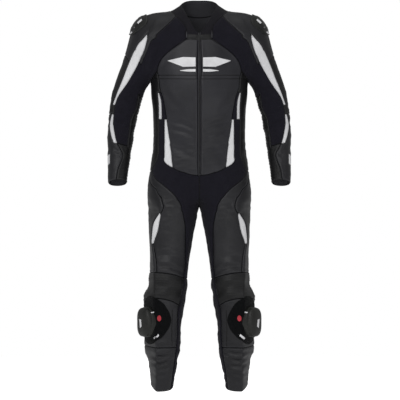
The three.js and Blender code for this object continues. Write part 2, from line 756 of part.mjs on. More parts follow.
function shareCrossing(row, ring, share) {
  const dx = ring.ox - ring.ix;
  const dz = ring.oz - ring.iz;
  const size = dx * dx + dz * dz;
  const of = (point) => {
    const forward = ring.mid - point.y;
    const z = point.z - ring.lean * forward;
    return ((point.x - ring.ix) * dx + (z - ring.iz) * dz) / size;
  };
  let first = 0;
  for (let i = 0; i < row.points.length / 3; i += 1) {
    if (of(row.points[i]) < of(row.points[first])) first = i;
  }
  for (let i = first + 1; i < row.points.length; i += 1) {
    if (of(row.points[i]) >= share) return row.along[i];
  }
  return row.total;
}

const loopRow = measured(sleeveLoop);
const sleeveRows = [sleeveLoop];
SLEEVE_ROWS.forEach((ring, index) => {
  const row = sleeveRing(ring);
  const top = shareCrossing(row, ring, 0.985 + Math.min(ring.swell, 0) / 60);
  const over = SHOULDER_OVER[index] || 0;
  const keys = [
    { column: 0, at: 0 },
    { column: SA, at: shareCrossing(row, ring, seamShare(YOKE_SEAM, ring)) },
    { column: SB, at: shareCrossing(row, ring, seamShare(SLEEVE_FLASH_SEAM, ring)) },
    { column: 16, at: top + over },
    { column: SLEEVE_COLUMNS, at: row.total },
  ];
  if (index < CREST.length) keys.splice(3, 0, { column: 15, at: top + CREST[index] });
  if (index < STRIP_ROWS) {
    keys.splice(1, 0, { column: SA - 1, at: shareCrossing(row, ring, seamShare(STRETCH_TOP_SEAM, ring)) });
  }
  if (index + 1 >= INNER_FROM) {
    keys.splice(1, 0, { column: SI, at: shareCrossing(row, ring, seamShare(INNER_SEAM, ring)) });
  }
  const settle = clamp((index + 1) / 6, 0, 1);
  const shares = (from, to, column, even) => {
    const first = loopRow.along[from];
    const own = (loopRow.along[column] - first) / (loopRow.along[to] - first);
    return mix(own, even, settle);
  };
  const made = spread(row, ordered(keys, row.total, 3.5), SLEEVE_COLUMNS, shares);
  made[SLEEVE_COLUMNS] = made[0].clone();
  sleeveRows.push(made);
});

// Collar columns run from the front centre round the neck to the back centre

const neckLoop = [
  ...chestRows[0],
  ...NECK_SIDE.map((point) => new THREE.Vector3(point.x, point.y, point.z)),
  ...shoulderRows[0],
];
const collarRows = [];
for (let i = 0; i <= COLLAR_ROWS; i += 1) {
  const share = i / COLLAR_ROWS;
  collarRows.push(neckLoop.map((point, column) => {
    const top = COLLAR_TOP[column];
    const made = point.clone().lerp(new THREE.Vector3(top.x, top.y, top.z), share);
    const bulge = 5 * Math.sin(Math.PI * share) * clamp(column / 5, 0, 1);
    const flat = Math.hypot(made.x, made.y) || 1;
    made.x += (bulge * made.x) / flat;
    made.y += (bulge * made.y) / flat;
    return made;
  }));
}

// One skin of shared points, each cell with the name of its panel

const points = [];
const lookup = new Map();
const cells = [];

function folded(point) {
  const made = point.clone();
  FOLDS.forEach((fold) => {
    const slope = THREE.MathUtils.degToRad(fold.slope);
    const dx = Math.abs(point.x) - fold.x;
    const dz = point.z - fold.z;
    const along = dx * Math.cos(slope) + dz * Math.sin(slope);
    const across = dz * Math.cos(slope) - dx * Math.sin(slope);
    const reach = Math.exp(-((along / fold.run) ** 2) - (across / fold.wide) ** 2);
    if (point.y < -20) made.y += fold.deep * reach;
  });
  return made;
}

function pointId(point, mirrored) {
  const place = [mirrored ? -point.x : point.x, point.y, point.z];
  const text = place.map((value) => Math.round(value * 1000) + 0).join(",");
  if (!lookup.has(text)) {
    const made = folded(point);
    made.x = mirrored ? -made.x : made.x;
    lookup.set(text, points.length);
    points.push(made);
  }
  return lookup.get(text);
}

const SHARED = ["zip", "collar", "back"];

function addCells(rows, panels, flip) {
  for (const mirrored of [false, true]) {
    const ids = rows.map((row) => row.map((point) => pointId(point, mirrored)));
    for (let row = 0; row < rows.length - 1; row += 1) {
      for (let column = 0; column < rows[row].length - 1; column += 1) {
        const name = panels(row, column);
        const quad = [[0, 0], [1, 0], [1, 1], [0, 1]].map(([down, over]) => ids[row + down][column + over]);
        if (flip !== mirrored) quad.reverse();
        const panel = SHARED.includes(name) ? name : `${name}_${mirrored ? "right" : "left"}`;
        cells.push({ panel, quad, row, column, mirrored });
      }
    }
  }
}

function painted(table) {
  return (row, column) => {
    let name = table[0].name;
    table.forEach((entry) => {
      const inRows = row >= entry.rows[0] && row < entry.rows[1];
      const inColumns = column >= entry.columns[0] && column < entry.columns[1];
      if (inRows && inColumns) name = entry.name;
    });
    return name;
  };
}

addCells(chestRows, (row, column) => (column === 0 ? "zip" : "front"), false);
addCells(shoulderRows, () => "back", false);
addCells(bodyRows, painted(BODY_PANELS), false);
addCells(legRows, painted(LEG_PANELS), false);
addCells(sleeveRows, painted(SLEEVE_PANELS), false);
addCells(collarRows, (row, column) => (column === 0 ? "zip" : "collar"), true);

// Outward direction at each shared point, and how far a wall must move along it

const faceNormals = cells.map((cell) => {
  const [a, b, c, d] = cell.quad.map((id) => points[id]);
  const normal = c.clone().sub(a).cross(d.clone().sub(b));
  return normal.lengthSq() > 0 ? normal : new THREE.Vector3();
});
const normals = points.map(() => new THREE.Vector3());
cells.forEach((cell, i) => {
  cell.quad.forEach((id) => normals[id].add(faceNormals[i].clone().normalize()));
});
normals.forEach((normal) => normal.normalize());
const reach = points.map(() => ({ sum: 0, count: 0 }));
cells.forEach((cell, i) => {
  const face = faceNormals[i].clone().normalize();
  cell.quad.forEach((id) => {
    reach[id].sum += clamp(face.dot(normals[id]), 0.3, 1);
    reach[id].count += 1;
  });
});
const moves = normals.map((normal, id) => {
  const mean = reach[id].sum / reach[id].count;
  return normal.clone().multiplyScalar(clamp(1 / mean, 1, 1.5));
});

// A cell folds along the diagonal that makes it bulge, so its corners start there

function bulging(quad) {
  const [a, b, c, d] = quad.map((id) => points[id]);
  const facing = b.clone().sub(a).cross(c.clone().sub(a));
  return facing.dot(d.clone().sub(a)) > 0 ? [...quad.slice(1), quad[0]] : quad;
}

// A closed wall over a set of cells, between two heights above the skin

function wallArrays(chosen, low, high, inset) {
  const next = new Map();
  const edges = new Map();
  chosen.forEach(({ quad }) => {
    quad.forEach((id, i) => edges.set(`${id},${quad[(i + 1) % 4]}`, [id, quad[(i + 1) % 4]]));
  });
  const rim = [...edges.values()].filter(([a, b]) => !edges.has(`${b},${a}`));
  const inward = new Map();
  rim.forEach(([a, b]) => {
    const way = points[b].clone().sub(points[a]).normalize();
    [a, b].forEach((id) => {
      const push = normals[id].clone().cross(way).normalize();
      if (!inward.has(id)) inward.set(id, []);
      inward.get(id).push(push);
    });
    next.set(a, b);
  });
  const ids = [...new Set(chosen.flatMap(({ quad }) => quad))];
  const order = new Map(ids.map((id, i) => [id, i]));
  const position = [];
  [high, low].forEach((height) => {
    ids.forEach((id) => {
      const made = points[id].clone().addScaledVector(moves[id], height);
      const push = inward.get(id);
      if (push && push.length === 2) {
        const share = Math.max(1 + push[0].dot(push[1]), 0.35);
        made.addScaledVector(push[0].clone().add(push[1]), inset / share);
      }
      position.push(made.x, made.y, made.z);
    });
  });
  const count = ids.length;
  const index = [];
  chosen.forEach(({ quad }) => {
    const [a, b, c, d] = bulging(quad).map((id) => order.get(id));
    index.push(a, b, c, a, c, d);
    index.push(count + a, count + c, count + b, count + a, count + d, count + c);
  });
  rim.forEach(([from, to]) => {
    const a = order.get(from);
    const b = order.get(to);
    if (from < to) index.push(b, a, count + a, b, count + a, count + b);
    else index.push(b, a, count + b, a, count + a, count + b);
  });
  return { position, index };
}

function wallGeometry(chosen, low, high, inset) {
  const { position, index } = wallArrays(chosen, low, high, inset);
  const geometry = new THREE.BufferGeometry();
  geometry.setAttribute("position", new THREE.Float32BufferAttribute(position, 3));
  geometry.setIndex(index);
  return geometry;
}

// Solids for cutting

function solidOf(geometry) {
  const bare = geometry.clone();
  bare.deleteAttribute("normal");
  bare.deleteAttribute("uv");
  const merged = mergeVertices(bare, 1e-4);
  const mesh = new wasm.Mesh({
    numProp: 3,
    vertProperties: new Float32Array(merged.attributes.position.array),
    triVerts: new Uint32Array(merged.index.array),
  });
  return new wasm.Manifold(mesh);
}

function geometryOf(solid) {
  const bodies = solid.decompose().sort((a, b) => b.volume() - a.volume());
  const mesh = bodies[0].getMesh();
  const geometry = new THREE.BufferGeometry();
  const values = [];
  for (let i = 0; i < mesh.vertProperties.length; i += mesh.numProp) {
    values.push(mesh.vertProperties[i], mesh.vertProperties[i + 1], mesh.vertProperties[i + 2]);
  }
  geometry.setAttribute("position", new THREE.Float32BufferAttribute(values, 3));
  geometry.setIndex([...mesh.triVerts]);
  return geometry;
}

const materials = {};
Object.entries(COLOURS).forEach(([name, look]) => {
  const settings = { color: look.colour, roughness: look.rough, metalness: 0 };
  materials[name] = new THREE.MeshStandardMaterial(settings);
});

const group = new THREE.Group();

function addMesh(name, geometry) {
  const finish = FINISH[name.replace(/_(left|right)$/, "")];
  geometry.computeVertexNormals();
  const mesh = new THREE.Mesh(geometry, materials[finish]);
  mesh.name = name;
  group.add(mesh);
}

const panelNames = [...new Set(cells.map((cell) => cell.panel))];
panelNames.forEach((name) => {
  const chosen = cells.filter((cell) => cell.panel === name);
  addMesh(name, wallGeometry(chosen, -WALL, 0, SEAM_GAP / 2));
});

// Tab across the top of the zip, cut from a layer above the collar front

const tabCells = cells.filter((cell) => {
  const low = cell.quad.every((id) => points[id].z < 20 && points[id].z > -80 && points[id].y < -60);
  return low && (cell.panel === "collar" || cell.panel === "zip") && Math.abs(points[cell.quad[0]].x) < 60;
});
const tabLayer = solidOf(wallGeometry(tabCells, LAY_GAP, LAY_GAP + TAB_THICK, 0));
const tabBox = new THREE.BoxGeometry(TAB.half * 2, 120, TAB.high - TAB.low);
tabBox.translate(0, -90, (TAB.high + TAB.low) / 2);
addMesh("collar_tab", geometryOf(tabLayer.intersect(solidOf(tabBox))));

// Oval knee patches and moulded sliders, then shoulder cups

function ovalPrism(spec, side, reachIn, reachOut) {
  const shape = new THREE.Shape();
  shape.absellipse(0, 0, spec.wide, spec.tall, 0, Math.PI * 2);
  const prism = new THREE.ExtrudeGeometry(shape, {
    depth: reachIn + reachOut,
    bevelEnabled: false,
    curveSegments: 18,
  });
  prism.translate(0, 0, -reachIn);
  prism.rotateX(Math.PI / 2);
  prism.rotateX(THREE.MathUtils.degToRad(-(spec.up || 0)));
  prism.rotateZ(THREE.MathUtils.degToRad(spec.aim) * side);
  prism.translate(spec.x * side, spec.y, spec.z);
  return prism;
}

function dome(spec, side) {
  const profile = [];
  const steps = 6;
  for (let i = 0; i <= steps; i += 1) {
    const turn = (Math.PI / 2) * (i / steps);
    profile.push(new THREE.Vector2(Math.max(power(Math.sin(turn), 3.4), 0), power(Math.cos(turn), 2.2)));
  }
  profile.push(new THREE.Vector2(1, -0.9));
  profile.push(new THREE.Vector2(0, -0.9));
  profile[0].x = 0;
  const shape = new THREE.LatheGeometry(profile.reverse(), 22);
  shape.scale(spec.wide, spec.thick, spec.tall);
  shape.rotateZ(Math.PI);
  shape.rotateZ(THREE.MathUtils.degToRad(spec.aim) * side);
  shape.translate(spec.x * side, spec.y, spec.z);
  return shape;
}

for (const side of [1, -1]) {
  const hand = side > 0 ? "left" : "right";
  const kneeCells = cells.filter((cell) => {
    const z = points[cell.quad[0]].z;
    const own = cell.mirrored === (side < 0);
    const leg = /^(knee|shin|over_knee|calf|thigh_outer|calf_inner)_/.test(cell.panel);
    return own && leg && z < -960 && z > -1260;
  });
  const ring = kneeCells.filter((cell) => !/calf_inner/.test(cell.panel));
  const layer = solidOf(wallGeometry(ring, LAY_GAP, LAY_GAP + PATCH_THICK, 0));
  const patch = layer.intersect(solidOf(ovalPrism(PATCH, side, 40, 80)));
  addMesh(`knee_patch_${hand}`, geometryOf(patch));
  const core = solidOf(wallGeometry(ring, -30, LAY_GAP * 2 + PATCH_THICK, 0));
  addMesh(`knee_slider_${hand}`, geometryOf(solidOf(dome(SLIDER, side)).subtract(core)));
  const shoulder = cells.filter((cell) => {
    const own = cell.mirrored === (side < 0);
    return own && /^(yoke|shoulder_panel|upper_sleeve)_/.test(cell.panel) && points[cell.quad[0]].z > -200;
  });
  const shell = solidOf(wallGeometry(shoulder, LAY_GAP, LAY_GAP + CUP_THICK, 0));
  addMesh(`shoulder_cup_${hand}`, geometryOf(shell.intersect(solidOf(ovalPrism(CUP, side, 60, 120)))));
}

export default group;
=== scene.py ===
# %% [markdown]
# A one-piece motorcycle race suit, filled out as if someone wore it.
# The frame holds the suit's solid pieces: walls of leather and stretch cloth, and a few hard parts.
# This script keeps their places and sizes, and gives each one its finished surface.

# %% Load the frame
import json
import math

import bmesh
import bpy
import numpy as np
from mathutils import Matrix, Vector, noise
from mathutils.bvhtree import BVHTree
from mathutils.kdtree import KDTree

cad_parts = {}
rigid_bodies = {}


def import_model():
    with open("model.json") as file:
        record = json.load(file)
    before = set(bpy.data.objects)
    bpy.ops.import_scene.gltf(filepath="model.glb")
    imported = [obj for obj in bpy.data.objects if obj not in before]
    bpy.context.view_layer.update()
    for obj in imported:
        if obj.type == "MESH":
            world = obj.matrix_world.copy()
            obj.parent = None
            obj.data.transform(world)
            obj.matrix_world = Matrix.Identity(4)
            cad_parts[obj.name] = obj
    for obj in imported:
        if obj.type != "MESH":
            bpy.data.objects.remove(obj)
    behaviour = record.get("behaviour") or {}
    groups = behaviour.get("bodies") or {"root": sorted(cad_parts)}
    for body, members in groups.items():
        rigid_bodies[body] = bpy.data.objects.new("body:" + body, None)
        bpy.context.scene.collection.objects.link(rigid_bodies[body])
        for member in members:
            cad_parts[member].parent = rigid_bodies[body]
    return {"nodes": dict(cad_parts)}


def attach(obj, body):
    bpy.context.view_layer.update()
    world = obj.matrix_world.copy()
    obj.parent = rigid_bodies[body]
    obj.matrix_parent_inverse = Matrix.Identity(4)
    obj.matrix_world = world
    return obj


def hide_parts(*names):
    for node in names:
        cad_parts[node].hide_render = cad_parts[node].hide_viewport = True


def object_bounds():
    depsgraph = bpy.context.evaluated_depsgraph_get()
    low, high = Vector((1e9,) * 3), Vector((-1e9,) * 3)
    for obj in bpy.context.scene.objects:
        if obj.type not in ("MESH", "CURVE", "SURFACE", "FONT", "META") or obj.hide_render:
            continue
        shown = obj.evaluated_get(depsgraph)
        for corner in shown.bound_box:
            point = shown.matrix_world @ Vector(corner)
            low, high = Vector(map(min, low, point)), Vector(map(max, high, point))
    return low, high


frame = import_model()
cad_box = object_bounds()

MM = 0.001
print("nodes", len(frame["nodes"]), "box", cad_box)

# %% [markdown]
# The photograph was taken level with the hips, with a long lens, so both arms and legs show alike.
# A camera needs a place, a direction and a lens. The frame's height at the suit fixes the distance:
# the picture is 400 pixels high and one pixel is 3.72 mm, so the view is 1.49 m high. A longer lens
# stands further back and shows near and far parts at the same scale.

# %% Camera
PIXEL = 3.72 * MM
PIXELS_HIGH = 400
VIEW_HEIGHT = PIXELS_HIGH * PIXEL
LENS = 600.0
SENSOR = 36.0
AIM = Vector((2.6 * MM, 0, -669.6 * MM))
distance = LENS / SENSOR * VIEW_HEIGHT

camera_data = bpy.data.cameras.new("camera")
camera_data.lens = LENS
camera_data.sensor_width = SENSOR
camera = bpy.data.objects.new("camera", camera_data)
bpy.context.scene.collection.objects.link(camera)
camera.location = AIM + Vector((0, -distance, 0))
camera.rotation_euler = (math.pi / 2, 0, 0)
bpy.context.scene.camera = camera
print("camera distance", round(distance, 2))

# %% [markdown]
# Black leather only shows its form by what it reflects. A big soft box in front, a smaller one below
# it and a weak one on each side fill the folds, and one above lights the shoulders. The camera sees
# the pale floor and the world as white. The suit gets less light from them, so its edges stay dark.

# %% Light and floor
def soft_box(name, place, aim, size, power):
    data = bpy.data.lights.new(name, "AREA")
    data.shape = "RECTANGLE"
    data.size, data.size_y = size
    data.energy = power
    lamp = bpy.data.objects.new(name, data)
    bpy.context.scene.collection.objects.link(lamp)
    lamp.visible_camera = False
    lamp.location = place
    lamp.rotation_euler = (Vector(aim) - Vector(place)).to_track_quat("-Z", "Y").to_euler()


soft_box("front_box", (-0.9, -3.4, 1.3), (0, 0, -0.6), (2.2, 2.6), 44)
soft_box("low_box", (0.8, -3.4, -1.3), (0, 0, -1.0), (2.0, 1.0), 13)
soft_box("left_box", (2.4, -2.4, 0.4), (0, 0, -0.6), (0.9, 2.6), 5)
soft_box("right_box", (-2.4, -2.3, 0.4), (0, 0, -0.6), (0.9, 2.6), 6)
soft_box("top_box", (0, -0.2, 2.4), (0, 0, -0.4), (2.0, 1.4), 9)


def brighter_in_view(tree, socket, lighting):
    """Strength 1 where the camera looks straight at it, and a smaller one for the light it gives."""
    seen = tree.nodes.new("ShaderNodeLightPath").outputs["Is Camera Ray"]
    strength = tree.nodes.new("ShaderNodeMapRange")
    strength.inputs["To Min"].default_value = lighting
    strength.inputs["To Max"].default_value = 1.0
    tree.links.new(seen, strength.inputs["Value"])
    tree.links.new(strength.outputs["Result"], socket)


world = bpy.data.worlds.new("studio")
world.use_nodes = True
backdrop = world.node_tree.nodes["Background"]
backdrop.inputs["Color"].default_value = (1, 1, 1, 1)
brighter_in_view(world.node_tree, backdrop.inputs["Strength"], 0.35)
bpy.context.scene.world = world
bpy.context.scene.view_settings.view_transform = "Standard"

FLOOR_GAP = 110 * MM
FLOOR_Z = cad_box[0][2] - FLOOR_GAP


def deselect():
    bpy.ops.object.select_all(action="DESELECT")


def select_only(thing):
    deselect()
    thing.select_set(True)
    bpy.context.view_layer.objects.active = thing


def apply_modifiers(thing):
    select_only(thing)
    for modifier in list(thing.modifiers):
        bpy.ops.object.modifier_apply(modifier=modifier.name)


deselect()
bpy.ops.mesh.primitive_plane_add(size=14, location=(0, 3, FLOOR_Z))
floor = bpy.context.object
floor.name = "floor"
floor_material = bpy.data.materials.new("pale_floor")
floor_material.use_nodes = True
floor_shader = floor_material.node_tree.nodes["Principled BSDF"]
floor_shader.inputs["Base Color"].default_value = (0.93, 0.93, 0.93, 1)
floor_shader.inputs["Roughness"].default_value = 0.9
floor_shader.inputs["Emission Color"].default_value = (1, 1, 1, 1)
brighter_in_view(floor_material.node_tree, floor_shader.inputs["Emission Strength"], 0.15)
floor.data.materials.append(floor_material)
print("floor at", round(FLOOR_Z, 3))

# %% [markdown]
# A finish is built from a few layers of procedural texture. Each one reads Object coordinates, so it
# stays on the piece from any side. Leather has a pebbled grain of about 1 mm, colour that drifts
# softly, and a paler edge where hands and seams rub it. The seam distance is stored on the
# cloth as an attribute, so the rubbed edge follows the real seams.

# %% Material helpers
STITCH_AWAY = 3.4 * MM
STITCH_STEP = 4.2 * MM
PEBBLES = 850.0


class Finish:
    def __init__(self, name):
        self.material = bpy.data.materials.new(name)
        self.material.use_nodes = True
        self.tree = self.material.node_tree
        self.shader = self.tree.nodes["Principled BSDF"]
        self.place = self.add("ShaderNodeTexCoord").outputs["Object"]

    def add(self, kind, **values):
        node = self.tree.nodes.new(kind)
        for key, value in values.items():
            setattr(node, key, value)
        return node

    def link(self, start, end):
        self.tree.links.new(start, end)

    def set(self, **values):
        for key, value in values.items():
            self.shader.inputs[key.replace("_", " ")].default_value = value

    def scaled(self, scale):
        node = self.add("ShaderNodeMapping")
        node.inputs["Scale"].default_value = scale
        self.link(self.place, node.inputs["Vector"])
        return node.outputs["Vector"]

    def noise(self, scale, detail=3.0, rough=0.55, place=None):
        node = self.add("ShaderNodeTexNoise")
        node.inputs["Scale"].default_value = scale
        node.inputs["Detail"].default_value = detail
        node.inputs["Roughness"].default_value = rough
        self.link(place or self.place, node.inputs["Vector"])
        return node.outputs["Fac"]

    def cells(self, scale, feature="F1"):
        node = self.add("ShaderNodeTexVoronoi", feature=feature)
        node.inputs["Scale"].default_value = scale
        self.link(self.place, node.inputs["Vector"])
        return node.outputs["Distance"]

    def waves(self, scale, direction, distort):
        node = self.add("ShaderNodeTexWave", bands_direction=direction)
        node.inputs["Scale"].default_value = scale
        node.inputs["Distortion"].default_value = distort
        self.link(self.place, node.inputs["Vector"])
        return node.outputs["Fac"]

    def span(self, value, low, high, to_low, to_high):
        node = self.add("ShaderNodeMapRange")
        for key, number in (("From Min", low), ("From Max", high), ("To Min", to_low), ("To Max", to_high)):
            node.inputs[key].default_value = number
        self.link(value, node.inputs["Value"])
        return node.outputs["Result"]

    def maths(self, kind, first, second):
        node = self.add("ShaderNodeMath", operation=kind)
        for socket, value in zip(node.inputs, (first, second)):
            if isinstance(value, (int, float)):
                socket.default_value = value
            else:
                self.link(value, socket)
        return node.outputs[0]

    def blend(self, share, first, second):
        node = self.add("ShaderNodeMix", data_type="RGBA")
        self.link(share, node.inputs["Factor"])
        for socket, value in zip((node.inputs[6], node.inputs[7]), (first, second)):
            if isinstance(value, tuple):
                socket.default_value = (*value, 1)
            else:
                self.link(value, socket)
        return node.outputs[2]

    def attribute(self, name):
        return self.add("ShaderNodeAttribute", attribute_name=name).outputs["Fac"]

    def bumps(self, *layers):
        last = None
        for value, depth, strength in layers:
            node = self.add("ShaderNodeBump")
            node.inputs["Distance"].default_value = depth
            node.inputs["Strength"].default_value = strength
            self.link(value, node.inputs["Height"])
            if last:
                self.link(last, node.inputs["Normal"])
            last = node.outputs["Normal"]
        self.link(last, self.shader.inputs["Normal"])

    def stitches(self):
        """1 on the thread of a row of stitches beside the seam, 0 elsewhere."""
        away = self.maths("ABSOLUTE", self.maths("SUBTRACT", self.attribute("seam"), STITCH_AWAY), 0.0)
        line = self.span(away, 0.35 * MM, 0.6 * MM, 1.0, 0.0)
        step = self.maths("FRACT", self.maths("DIVIDE", self.attribute("along"), STITCH_STEP), 0.0)
        dash = self.span(self.maths("ABSOLUTE", self.maths("SUBTRACT", step, 0.5), 0.0), 0.3, 0.38, 1.0, 0.0)
        return self.maths("MULTIPLY", line, dash)

    def seam_shadow(self):
        """1 in the valley of a seam, 0 from 2 mm away."""
        return self.span(self.attribute("seam"), 0.7 * MM, 2.0 * MM, 0.85, 0.0)

    def panel_lines(self):
        """1 on the pairs of sewn lines inside a panel."""
        away = self.maths("ABSOLUTE", self.attribute("line"), 0.0)
        off = self.maths("ABSOLUTE", self.maths("SUBTRACT", away, self.attribute("gap")), 0.0)
        return self.span(off, 0.7 * MM, 1.7 * MM, 1.0, 0.0)

    def colour(self, value):
        self.link(value, self.shader.inputs["Base Color"])

    def rough(self, value):
        self.link(value, self.shader.inputs["Roughness"])


def shade(hex_text):
    """An sRGB colour as linear numbers."""
    parts = [int(hex_text[i:i + 2], 16) / 255 for i in (0, 2, 4)]
    return tuple(p / 12.92 if p <= 0.04045 else ((p + 0.055) / 1.055) ** 2.4 for p in parts)


def leather(name, dark, light, rubbed, gloss, grain=0.8, thread="3a3a3d", shine=0.26):
    finish = Finish(name)
    drift = finish.span(finish.noise(7.0, 2.0), 0.35, 0.65, 0.0, 1.0)
    body = finish.blend(drift, shade(dark), shade(light))
    near = finish.span(finish.attribute("seam"), 0.0, 9 * MM, 0.5, 0.0)
    patchy = finish.maths("MULTIPLY", near, finish.noise(45.0, 3.0))
    stitches = finish.stitches()
    lines = finish.panel_lines()
    body = finish.blend(patchy, body, shade(rubbed))
    # painted shade: the valleys of the seams and the grooves of the sewn lines are darkened to near black
    body = finish.blend(finish.maths("MAXIMUM", lines, finish.seam_shadow()), body, shade("0b0b0c"))
    finish.colour(finish.blend(stitches, body, shade(thread)))
    worn = finish.maths("MULTIPLY", finish.noise(16.0, 3.0), 0.22)
    finish.rough(finish.maths("ADD", worn, gloss - 0.1))
    pebbles = finish.cells(PEBBLES, "SMOOTH_F1")
    creases = finish.noise(95.0, 4.0, 0.6)
    finish.bumps((creases, 0.9 * MM, 0.25 * grain), (pebbles, 0.35 * MM, 0.5 * grain),
                 (stitches, 0.6 * MM, 0.7), (lines, -1.5 * MM, 0.8))
    finish.set(Specular_IOR_Level=shine, Coat_Weight=0.04, Coat_Roughness=0.3)
    return finish.material


# %% Leather finishes
def placket(name):
    """Front leather up to the zip's line, and the dark tape of the zip between its two edges."""
    finish = Finish(name)
    across = finish.add("ShaderNodeSeparateXYZ")
    finish.link(finish.place, across.inputs["Vector"])
    away = finish.maths("ABSOLUTE", across.outputs["X"], 0.0)
    drift = finish.span(finish.noise(7.0, 2.0), 0.35, 0.65, 0.0, 1.0)
    hide = finish.blend(drift, shade("202024"), shade("28282d"))
    fold = finish.span(away, 2.2 * MM, 3.4 * MM, 0.0, 1.0)
    edge = finish.maths("MULTIPLY", fold, finish.span(away, 3.4 * MM, 5.2 * MM, 1.0, 0.0))
    worn = finish.blend(edge, hide, shade("434348"))
    finish.colour(finish.blend(fold, shade("08080a"), worn))
    finish.rough(finish.span(finish.noise(16.0, 3.0), 0.3, 0.7, 0.32, 0.5))
    finish.bumps((fold, 1.2 * MM, 0.8), (finish.cells(PEBBLES, "SMOOTH_F1"), 0.35 * MM, 0.4))
    finish.set(Specular_IOR_Level=0.26)
    return finish.material


ZIP_PLACKET = placket("zip_placket")
FRONT_LEATHER = leather("front_leather", "202024", "28282d", "3e3e43", 0.40)
SHOULDER_LEATHER = leather("shoulder_leather", "1c1c1f", "242427", "38383c", 0.42)
SIDE_LEATHER = leather("side_leather", "131314", "1a1a1b", "2a2a2c", 0.46, shine=0.22)
WHITE_LEATHER = leather("white_leather", "dedee0", "e8e8ea", "c4c4c8", 0.42, 0.5, "b4b4b8", 0.4)
print("leathers made")

# %% [markdown]
# The stretch cloth between the leather panels is a thick ribbed knit, dull and slightly blue.
# Its ribs are a wave 1.4 mm wide with a second, finer wave across them, and its sheen comes from the
# shader's own sheen layer, as fuzz catches light at the edge of a limb.

# %% Cloth and plastic finishes
def knit(name, dark, light, pitch, rib=1.0):
    finish = Finish(name)
    ribs = finish.waves(1 / pitch, "Z", distort=0.4)
    loops = finish.waves(1.7 / pitch, "X", distort=0.6)
    mesh = finish.maths("MULTIPLY", ribs, loops)
    patchy = finish.maths("MULTIPLY", finish.noise(30.0, 3.0), 0.7)
    body = finish.blend(finish.maths("ADD", patchy, finish.maths("MULTIPLY", mesh, 0.3)),
                        shade(dark), shade(light))
    finish.colour(finish.blend(finish.seam_shadow(), body, shade("09090b")))
    finish.rough(finish.span(finish.noise(60.0), 0.3, 0.7, 0.72, 0.92))
    finish.bumps((finish.noise(40.0, 3.0), 0.8 * MM, 0.2 * rib), (mesh, 0.5 * MM, 0.6 * rib))
    finish.set(Specular_IOR_Level=0.1, Sheen_Weight=0.05, Sheen_Roughness=0.5)
    return finish.material


STRETCH_CLOTH = knit("stretch_cloth", "131219", "201f28", 4.2 * MM)
COLLAR_CLOTH = knit("collar_cloth", "151418", "222126", 5.5 * MM, 0.7)
LINING_CLOTH = knit("lining_cloth", "3e3e42", "4c4c50", 9.0 * MM, 0.8)


def moulded(name, dark, light, gloss, speckle):
    finish = Finish(name)
    drift = finish.span(finish.noise(25.0, 3.0), 0.35, 0.65, 0.0, 1.0)
    finish.colour(finish.blend(drift, shade(dark), shade(light)))
    scuffs = finish.noise(1.0, 4.0, 0.7, finish.scaled((60, 60, 900)))
    finish.rough(finish.span(scuffs, 0.35, 0.75, gloss, gloss + 0.22))
    finish.bumps((scuffs, 0.1 * MM, 0.3), (finish.noise(speckle, 2.0), 0.12 * MM, 0.4))
    finish.set(Specular_IOR_Level=0.35)
    return finish.material


CUP_PLASTIC = moulded("cup_plastic", "131413", "1c1d1b", 0.3, 1400.0)
SLIDER_PLASTIC = moulded("slider_plastic", "171816", "21221f", 0.36, 1100.0)
ZIP_PLASTIC = moulded("zip_plastic", "101012", "1a1a1c", 0.38, 1500.0)
RED_DOT = moulded("red_dot", "a82632", "c23a45", 0.4, 900.0)
SCREW_METAL = moulded("screw_metal", "7d7d80", "98989b", 0.3, 1200.0)
SCREW_METAL.node_tree.nodes["Principled BSDF"].inputs["Metallic"].default_value = 1.0


def hook_and_loop(name):
    finish = Finish(name)
    hooks = finish.cells(700.0)
    finish.colour(finish.blend(finish.span(hooks, 0.0, 0.6, 0.0, 1.0), shade("131416"), shade("060708")))
    finish.rough(finish.span(finish.noise(80.0), 0.3, 0.7, 0.8, 0.97))
    finish.bumps((finish.noise(50.0), 0.8 * MM, 0.3), (hooks, 0.9 * MM, 0.9))
    finish.set(Specular_IOR_Level=0.1, Sheen_Weight=0.04)
    return finish.material


LOOP_PILE = hook_and_loop("loop_pile")
WHITE_PRINT = moulded("white_print", "d8d8da", "e6e6e8", 0.4, 900.0)
print("cloth and plastic finishes made")

# %% [markdown]
# The suit is sewn from many panels that meet edge to edge, so their surfaces must run on smoothly from
# one to the next. Each solid is a wall, and only its outer side is wanted here: those faces have the
# other side of the wall about 2 mm behind them, and look away from the middle of the limb. The outer
# sides are welded into one skin, its triangles are paired back into four-sided faces, and the whole
# skin is subdivided at once. Every face remembers its panel, so the skin can be cut apart again.

# %% Which panel has which finish
FINISH_OF = {
    "front": FRONT_LEATHER, "yoke": SHOULDER_LEATHER, "thigh_front": SHOULDER_LEATHER,
    "thigh_outer": SHOULDER_LEATHER, "knee": SHOULDER_LEATHER, "shin": SHOULDER_LEATHER,
    "forearm_front": SHOULDER_LEATHER, "over_knee": SIDE_LEATHER, "side": SIDE_LEATHER,
    "back": SIDE_LEATHER, "seat": SIDE_LEATHER, "calf": SIDE_LEATHER, "upper_sleeve": SIDE_LEATHER,
    "shoulder_panel": SIDE_LEATHER, "inner_forearm": SIDE_LEATHER, "forearm_back": SIDE_LEATHER,
    "stretch": STRETCH_CLOTH,
    "sleeve_stretch": STRETCH_CLOTH, "calf_inner": STRETCH_CLOTH, "waist_flash": WHITE_LEATHER,
    "rib_flash": WHITE_LEATHER, "thigh_flash": WHITE_LEATHER, "arm_flash": WHITE_LEATHER,
    "elbow_flash": WHITE_LEATHER, "forearm_flash": WHITE_LEATHER, "collar": COLLAR_CLOTH,
    "zip": ZIP_PLACKET,
}
SLEEVE_KINDS = {"sleeve_stretch", "inner_forearm", "yoke", "shoulder_panel", "upper_sleeve", "arm_flash",
                "elbow_flash", "forearm_flash", "forearm_front", "forearm_back"}
